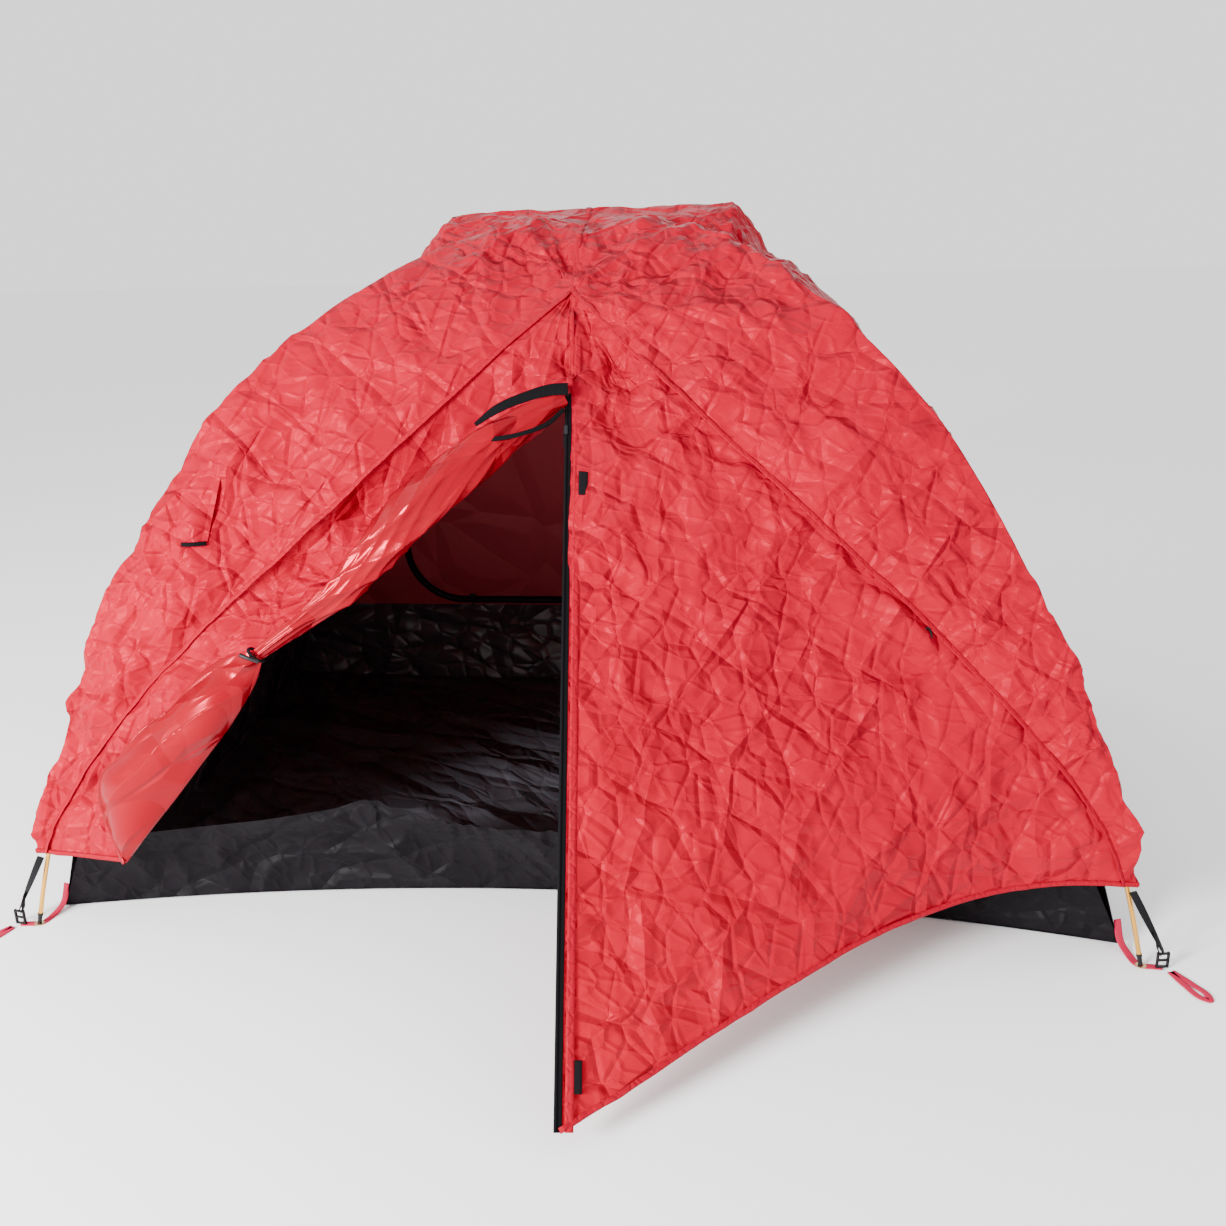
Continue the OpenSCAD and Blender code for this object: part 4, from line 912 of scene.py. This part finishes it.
def tubOther(side, rows=30, cols=140):
    u = np.linspace(-1, 1, cols)[None]
    v = np.linspace(0, 1, rows)[:, None]
    fold = (0.006 * (1 - 2 * np.abs(np.sin(9 * u + 4 * v + 1.4 * np.sin(5 * u))) ** 0.7)
            * np.sin(math.pi * v) * (1 - u**4))
    if side == "B":
        x0, x1 = floorX * u, tubTopR * shareX * u
        y = lerp(backEdgeY(x0) - 0.002, tubTopR * shareY + 0 * u, v) - np.abs(fold)
        return np.stack([lerp(x0, x1, v), y, lerp(0.004, 0.22, v) + 0 * u], -1)
    sx = 1 if side == "R" else -1
    y0, y1 = floorY * u, tubTopR * shareY * u
    x = sx * (lerp(sideEdgeX(y0) - 0.002, tubTopR * shareX + 0 * u, v) - np.abs(fold))
    return np.stack([x, lerp(y0, y1, v), lerp(0.004, 0.22, v) + 0 * u], -1)


tubBackObj = gridMesh("tubBack", tubOther("B"), groundPaintedLightMat, flip=True)
tubLeftObj = gridMesh("tubLeft", tubOther("L"), groundPaintedLightMat, flip=True)
tubRightObj = gridMesh("tubRight", tubOther("R"), groundPaintedLightMat)
print("inner room and floor made")

# ---- zips ----
zipShape = {"tape": 0.008, "coil": 0.0026}
zipDir = unit(tip - zipTop)
doorSide = unit((corner - zipTop) - zipDir * ((corner - zipTop) @ zipDir))
zipOut = np.cross(zipDir, doorSide)
zipOut = zipOut if zipOut[1] < 0 else -zipOut
zipPath = resample([zipTop, lerp(zipTop, tip, 0.5), tip], 120)
zipTape = sweep("zipTape", zipPath + zipOut * 0.0005 - doorSide * 0.001, zipOut, bandProfile(zipShape["tape"],
    0.0016), tapeMat)
zipCoil = sweep("zipCoil", zipPath - doorSide * 0.007 + zipOut * 0.0008, zipOut, roundProfile(zipShape["coil"]),
                tapeMat)
placketPath = resample([lerp(split, tip, 0.05), lerp(split, tip, 0.5), tip],
                       120) + doorSide * 0.013 + zipOut * 0.002
placket = sweep("placket", placketPath, zipOut, bandProfile(0.013, 0.0016, 0.2), seamMat)

# D-shaped zip of the back door, on the room side
dPath = onBack(outline[:120])
dPath[:, 1] -= 0.006
backZip = sweep("backZipTape", dPath, vec(0, -1, 0.2), bandProfile(0.020, 0.0014), tapeMat)
backCoil = sweep("backZipCoil", dPath - vec(0, 0.0025, 0), vec(0, -1, 0.2), roundProfile(0.0022), metalMat)
print("zips made")


# ---- seams and hems: narrow bands that lie on the crumpled cloth ----
def seamBand(name, base, width, lift):
    o = outward(base)
    return sweep(name, cloth(base, allCreases) + o * lift, o, bandProfile(width, 0.0018, 0.25), seamMat)


zz = np.linspace(splitZ - 0.004, hemZ + 0.002, 220)
centreY = np.linspace(-0.002, -float(legReach(splitZ, gap)) * shareY, 80)
centreLine = np.stack([0 * centreY, centreY, roofHeight(0 * centreY, centreY)], -1)
centreLow = lerp(split, tip, np.linspace(0.01, 0.155, 30)[:, None])
seams = [
    seamBand("seamRight", seamPoint(zz), 0.011, 0.0022),
    seamBand("seamLeft", seamPoint(zz) * mirrorX, 0.011, 0.0022),
    seamBand("seamCentre", np.concatenate([centreLine, centreLow]), 0.012, 0.0024),
]
hemRight = sweep("hemRight", doorGrid[-1] + vec(0, -0.001, 0.004), unit(vec(0.1, -0.9, 0.45)),
                 bandProfile(0.009, 0.0028, 0.3), seamMat)
hemMain = sweep("hemMain", flyGrid[0] + vec(0, 0, 0.004), outward(flyGrid[0]), bandProfile(0.009, 0.0028, 0.3),
                seamMat)
hemLeft = sweep("hemLeft", gussetGrid[-1] + vec(0, -0.001, 0.004), unit(vec(-0.1, -1, 0.1)), bandProfile(0.009,
    0.0028, 0.3), seamMat)
lapelHem = sweep("lapelHem", lapelBase[60:, 0] + vec(0.004, -0.002, 0), unit(vec(-0.1, -1, 0.1)),
                 bandProfile(0.007, 0.002, 0.3), flyInsideMat)
addStitch(seamMat, (0.0035, 0.0085))
print("seams made")

# ---- storm flap end and the loose zip edge on the roll ----
stormPath = resample([vec(-0.150, -0.530, 0.930), vec(-0.113, -0.520, 0.955), vec(-0.06, -0.500, 0.975),
                      vec(-0.014, -0.485, 0.985), vec(0.012, -0.480, 0.985)], 60)
stormFlap = sweep("stormFlap", stormPath, vec(0.1, -0.9, 0.45), bandProfile(0.022, 0.002), tapeMat,
                  scale=np.interp(np.linspace(0, 1, 60), [0, 0.25, 1], [0.35, 0.75, 1.05]))
loosePath = resample([vec(-0.170, -0.565, 0.900), vec(-0.120, -0.562, 0.908), vec(-0.07, -0.550, 0.915),
                      vec(-0.02, -0.520, 0.930), vec(0.004, -0.49, 0.95)], 60)
looseZip = sweep("looseZip", loosePath, vec(0, -0.9, 0.45), bandProfile(0.008, 0.003), tapeMat)

# ---- ties, patches, hood ----
ang = np.linspace(0, 2 * math.pi, 48)
tieAxis = unit(vec(-0.62, -0.1, -0.72))
tA = unit(np.cross(tieAxis, vec(0, 1, 0)))
tB = np.cross(tieAxis, tA)
loop = (tie + vec(0.004, -0.016, 0)) + 0.017 * (np.cos(ang)[:, None] * tA + np.sin(ang)[:, None] * tB)
tieBand = sweep("tieBand", loop, tieAxis, roundProfile(0.003, 8), webMat)
toggle = sweep("tieToggle", resample([tie + vec(-0.016, -0.040, 0.008), tie + vec(0.0, -0.042, 0.003),
                                      tie + vec(0.018, -0.040, -0.004)], 20),
               vec(0, -1, 0), roundProfile(0.0038), plasticMat)


def patchAt(name, share):
    c = lerp(zipTop, tip, share) + doorSide * 0.025
    k = np.argmin(np.linalg.norm(doorGrid.reshape(-1, 3) - c, axis=1))
    base = doorGrid.reshape(-1, 3)[k] + zipOut * 0.003
    path = resample([base - zipDir * 0.023, base, base + zipDir * 0.023], 14)
    return sweep(name, path, zipOut, bandProfile(0.017, 0.0024), hookMat)


patchTop = patchAt("patchTop", 0.15)
patchLow = patchAt("patchLow", 0.94)

spareLo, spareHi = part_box("spare_tie")
sc = (np.array(spareLo) + np.array(spareHi)) / 2
spareAng = np.linspace(0, 2 * math.pi, 40)
spareLoop = vec(sc[0], 0, 0) + np.stack([0.007 * np.sin(spareAng), 0 * spareAng, 0 * spareAng], -1)
spareZ = lerp(spareHi[2], spareLo[2], (1 - np.cos(spareAng)) / 2)
spareY = lerp(spareHi[1] - 0.004, spareLo[1] + 0.006, (1 - np.cos(spareAng)) / 2)
spareLoop[:, 2] = spareZ
spareLoop[:, 1] = spareY
spareTie = sweep("spareTie", spareLoop, vec(0, -1, 0.3), roundProfile(0.0016, 8), webMat)

hz = np.linspace(0.845, 0.72, 26)[:, None]
hu = np.linspace(-1, 1, 30)[None]
hx = -0.672 + 0.035 * hu - 0.02 * (0.845 - hz) / 0.125
hoodLift = 0.006 + 0.024 * ((0.845 - hz) / 0.125) ** 1.5 * (1 - 0.7 * hu**2)
hoodGrid = frontFace(hx, hz + 0 * hu, gap) + vec(0, -1, 0.1) * hoodLift[..., None]
ventHood = gridMesh("ventHood", hoodGrid, flyMat, flip=True)
hoodEdge = sweep("ventHoodStiffener", resample(hoodGrid[-1, 12:], 30) + vec(0, -0.001, 0.002), vec(0, -1, 0.2),
                 bandProfile(0.008, 0.002), tapeMat)
print("ties, patches and hood made")


# ---- corners: crimson webbing, black strap, peg loop ----
corners = {"front_left": (-1, -1), "front_right": (1, -1), "back_left": (-1, 1), "back_right": (1, 1)}
straps, loops = [], {}
for name, (sx, sy) in corners.items():
    k = vec(sx, -sy, 1)  # drawn for the front right, then mirrored
    foot = vec(1.025, -0.725, 0)
    web = resample([vec(1.000, -0.655, 0.05), vec(1.006, -0.672, 0.012), vec(1.013, -0.69, 0.0025),
                    foot + vec(0, 0, 0.0016), foot + vec(0.017, -0.002, 0.0016), foot + vec(0.034, -0.004,
                        0.002)], 40)
    straps.append(sweep("cornerWeb_" + name, web * k, vec(0, 0, 1), bandProfile(0.015, 0.0016), crimsonMat))
    top = corner + vec(0.012, -0.010, -0.004)
    low = foot + vec(0.034, -0.004, 0.032)
    line = resample([top, lerp(top, low, 0.33), lerp(top, low, 0.7), low], 60)
    twist = np.linspace(1.9, 0.3, 60)
    upT = np.stack([np.cos(twist), -np.sin(twist), 0 * twist], -1)
    straps.append(sweep("flyStrap_" + name, line * k, upT * k, bandProfile(0.013, 0.0016), webMat))
    tail = resample([low + vec(-0.005, 0, -0.004), low + vec(-0.011, -0.002, 0.006), low + vec(-0.015, -0.003,
        0.022), low + vec(-0.022, -0.004, 0.040)], 30)
    straps.append(sweep("strapTail_" + name, tail * k, vec(1, 0, 0.1) * k, bandProfile(0.011, 0.0016), webMat))
    loBox, hiBox = [np.array(v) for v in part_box("peg_loop_" + name)]
    start = foot + vec(0.046, -0.016, 0.002)
    end = vec(np.abs([loBox[0], hiBox[0]]).max() - 0.013, -np.abs([loBox[1], hiBox[1]]).max() + 0.012, 0.002)
    mid = lerp(start, end, 0.5)
    sideways = unit(np.cross(end - start, vec(0, 0, 1)))
    loopPath = resample([start + sideways * 0.002, mid + sideways * 0.007, end + sideways * 0.006,
                         end + unit(end - start) * 0.008, end - sideways * 0.006, mid - sideways * 0.007,
                         start - sideways * 0.002], 60)
    loops[name] = sweep("pegLoop_" + name, loopPath * k, vec(0, 0, 1), bandProfile(0.012, 0.0016), crimsonMat)
print("corners made")

# ---- pieces take the place of the plain cloth solids, and ride with their bodies ----
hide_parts("fly_roof", "fly_left", "fly_right", "fly_back", "fly_front_left", "fly_front_right")
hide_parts("porch_door", "gusset_right")
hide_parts("gusset_left")
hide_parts("rolled_door")
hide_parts("door_flap")
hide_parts("inner_back")
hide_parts("back_door")
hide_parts("inner_front")
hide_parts("inner_left")
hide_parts("inner_right")
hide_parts("inner_roof")
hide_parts("front_door_roll")
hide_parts("groundsheet")
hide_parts("tub_front")
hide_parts("tub_back")
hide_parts("tub_left")
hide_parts("tub_right")
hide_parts("porch_zip")
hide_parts("back_door_zip")
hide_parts("velcro_patches")
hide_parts("roll_tie")
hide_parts("spare_tie")
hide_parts("vent_hood")
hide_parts("corner_webbing")
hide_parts("fly_straps")
for name, obj in loops.items():
    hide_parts("peg_loop_" + name)
    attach(obj, "peg_loop_" + name)

for obj in (porchRight, seams[0], seams[2], placket, zipTape, zipCoil, patchTop, hemRight):
    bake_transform(obj)
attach(patchLow, "porch_door")
for obj in (backDoor, backZip, backCoil):
    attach(obj, "back_door")
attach(spareTie, "spare_tie")
rootPieces = [flyMain, leftGusset, rolledDoor, doorFlap, innerBack, innerFront, innerLeft, innerRight,
              innerRoof, frontDoorRoll,
              groundsheet, tubFrontObj, tubBackObj, tubLeftObj, tubRightObj, seams[1], hemMain, hemLeft,
              lapelHem,
              stormFlap, looseZip, tieBand, toggle, ventHood, hoodEdge, *straps]
for obj in rootPieces:
    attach(obj, "root")


def declare(obj, wide, tall, area):
    if area and area < 0.36 * wide * tall:
        print("small area", obj.name, round(area, 3))
        tall = area / wide / 0.7
    if area and area > wide * tall:
        print("big area", obj.name, round(area, 3))
        tall = area / wide * 1.02


flyArea = gridArea(flyBase)
declare(flyMain, 6.6, 2.0, flyArea)
declare(porchRight, 1.35, 1.45, gridArea(doorBase))
declare(leftGusset, 0.9, 1.35, gridArea(gussetBase))
declare(doorFlap, 0.30, 0.60, gridArea(lapelBase))
declare(innerBack, 2.0, 1.1, gridArea(backGrid.reshape(30, -1, 3)))
declare(backDoor, 0.9, 0.66, None)
declare(innerLeft, 1.25, 1.1, gridArea(wallSheet("L", 50, 40, tubZ, topZin)))
declare(innerRight, 1.25, 1.1, gridArea(wallSheet("R", 50, 40, tubZ, topZin)))
declare(innerRoof, 0.9, 0.7, gridArea(roofGrid))
declare(groundsheet, 2.05, 1.35, gridArea(floorGrid))
declare(tubFrontObj, 2.05, 0.28, gridArea(tubFrontGrid))
declare(tubBackObj, 2.05, 0.24, gridArea(tubOther("B")))
declare(tubLeftObj, 1.35, 0.24, gridArea(tubOther("L")))
declare(tubRightObj, 1.35, 0.24, gridArea(tubOther("R")))

# ---- hard parts keep their own solids and take a finish ----
finishes = {"pole_tips": plasticMat, "ridge_pole_ends": plasticMat, "crossing_clip": plasticMat,
            "pole_clips": plasticMat,
            "ladder_locks": plasticMat, "eyelets": brassMat, "pole_inserts": insertMat, "pole_cords": cordMat,
            "ridge_pole": poleMat, "back_door_slider": metalMat, "porch_slider": metalMat}
for name, obj in frame["nodes"].items():
    mat = poleMat if "section" in name else finishes.get(name)
    if mat:
        obj.data.materials.clear()
        obj.data.materials.append(mat)

# ---- floor, light, camera ----
stage = {"floor": (0.95, 0.95, 0.95), "world": 1.5, "key": 560, "fill": 20, "back": 20}
mesh = bpy.data.meshes.new("floor")
mesh.from_pydata([(-30, -30, 0), (30, -30, 0), (30, 30, 0), (-30, 30, 0)], [], [(0, 1, 2, 3)])
floor = bpy.data.objects.new("floor", mesh)
bpy.context.scene.collection.objects.link(floor)
floorMat, *_ = material("floorPaint", "", stage["floor"], 0.9)
mesh.materials.append(floorMat)

world = bpy.data.worlds.new("studio")
world.use_nodes = True
world.node_tree.nodes["Background"].inputs["Color"].default_value = (1, 1, 1, 1)
world.node_tree.nodes["Background"].inputs["Strength"].default_value = stage["world"]
bpy.context.scene.world = world


def areaLight(name, place, aim, size, power):
    data = bpy.data.lights.new(name, "AREA")
    data.shape = "RECTANGLE"
    data.size, data.size_y = size
    data.energy = power
    obj = bpy.data.objects.new(name, data)
    bpy.context.scene.collection.objects.link(obj)
    obj.location = place
    obj.rotation_euler = (Vector(aim) - Vector(place)).to_track_quat("-Z", "Y").to_euler()
    return obj


areaLight("key", (-2.4, -3.7, 1.75), (0, -0.4, 0.6), (1.3, 1.0), stage["key"])
areaLight("fill", (2.8, -2.6, 1.8), (0.2, -0.5, 0.5), (1.8, 1.8), stage["fill"])
areaLight("back", (0.0, 3.4, 3.0), (0, 0, 0.8), (3.0, 1.5), stage["back"])

eye = vec(0.3284, -2.6291, 1.2557)
yaw, pitch, roll = 0.1141, -0.3093, -0.0267
ahead = vec(-math.sin(yaw) * math.cos(pitch), math.cos(yaw) * math.cos(pitch), math.sin(pitch))
level = vec(math.cos(yaw), math.sin(yaw), 0)
upward = np.cross(level, ahead)
right = math.cos(roll) * level + math.sin(roll) * upward
above = -math.sin(roll) * level + math.cos(roll) * upward
camData = bpy.data.cameras.new("camera")
camData.sensor_width = 36
camData.lens = 35.29
camera = bpy.data.objects.new("camera", camData)
bpy.context.scene.collection.objects.link(camera)
camera.matrix_world = Matrix([[right[i], above[i], -ahead[i], eye[i]] for i in range(3)] + [[0, 0, 0, 1]])
bpy.context.scene.camera = camera
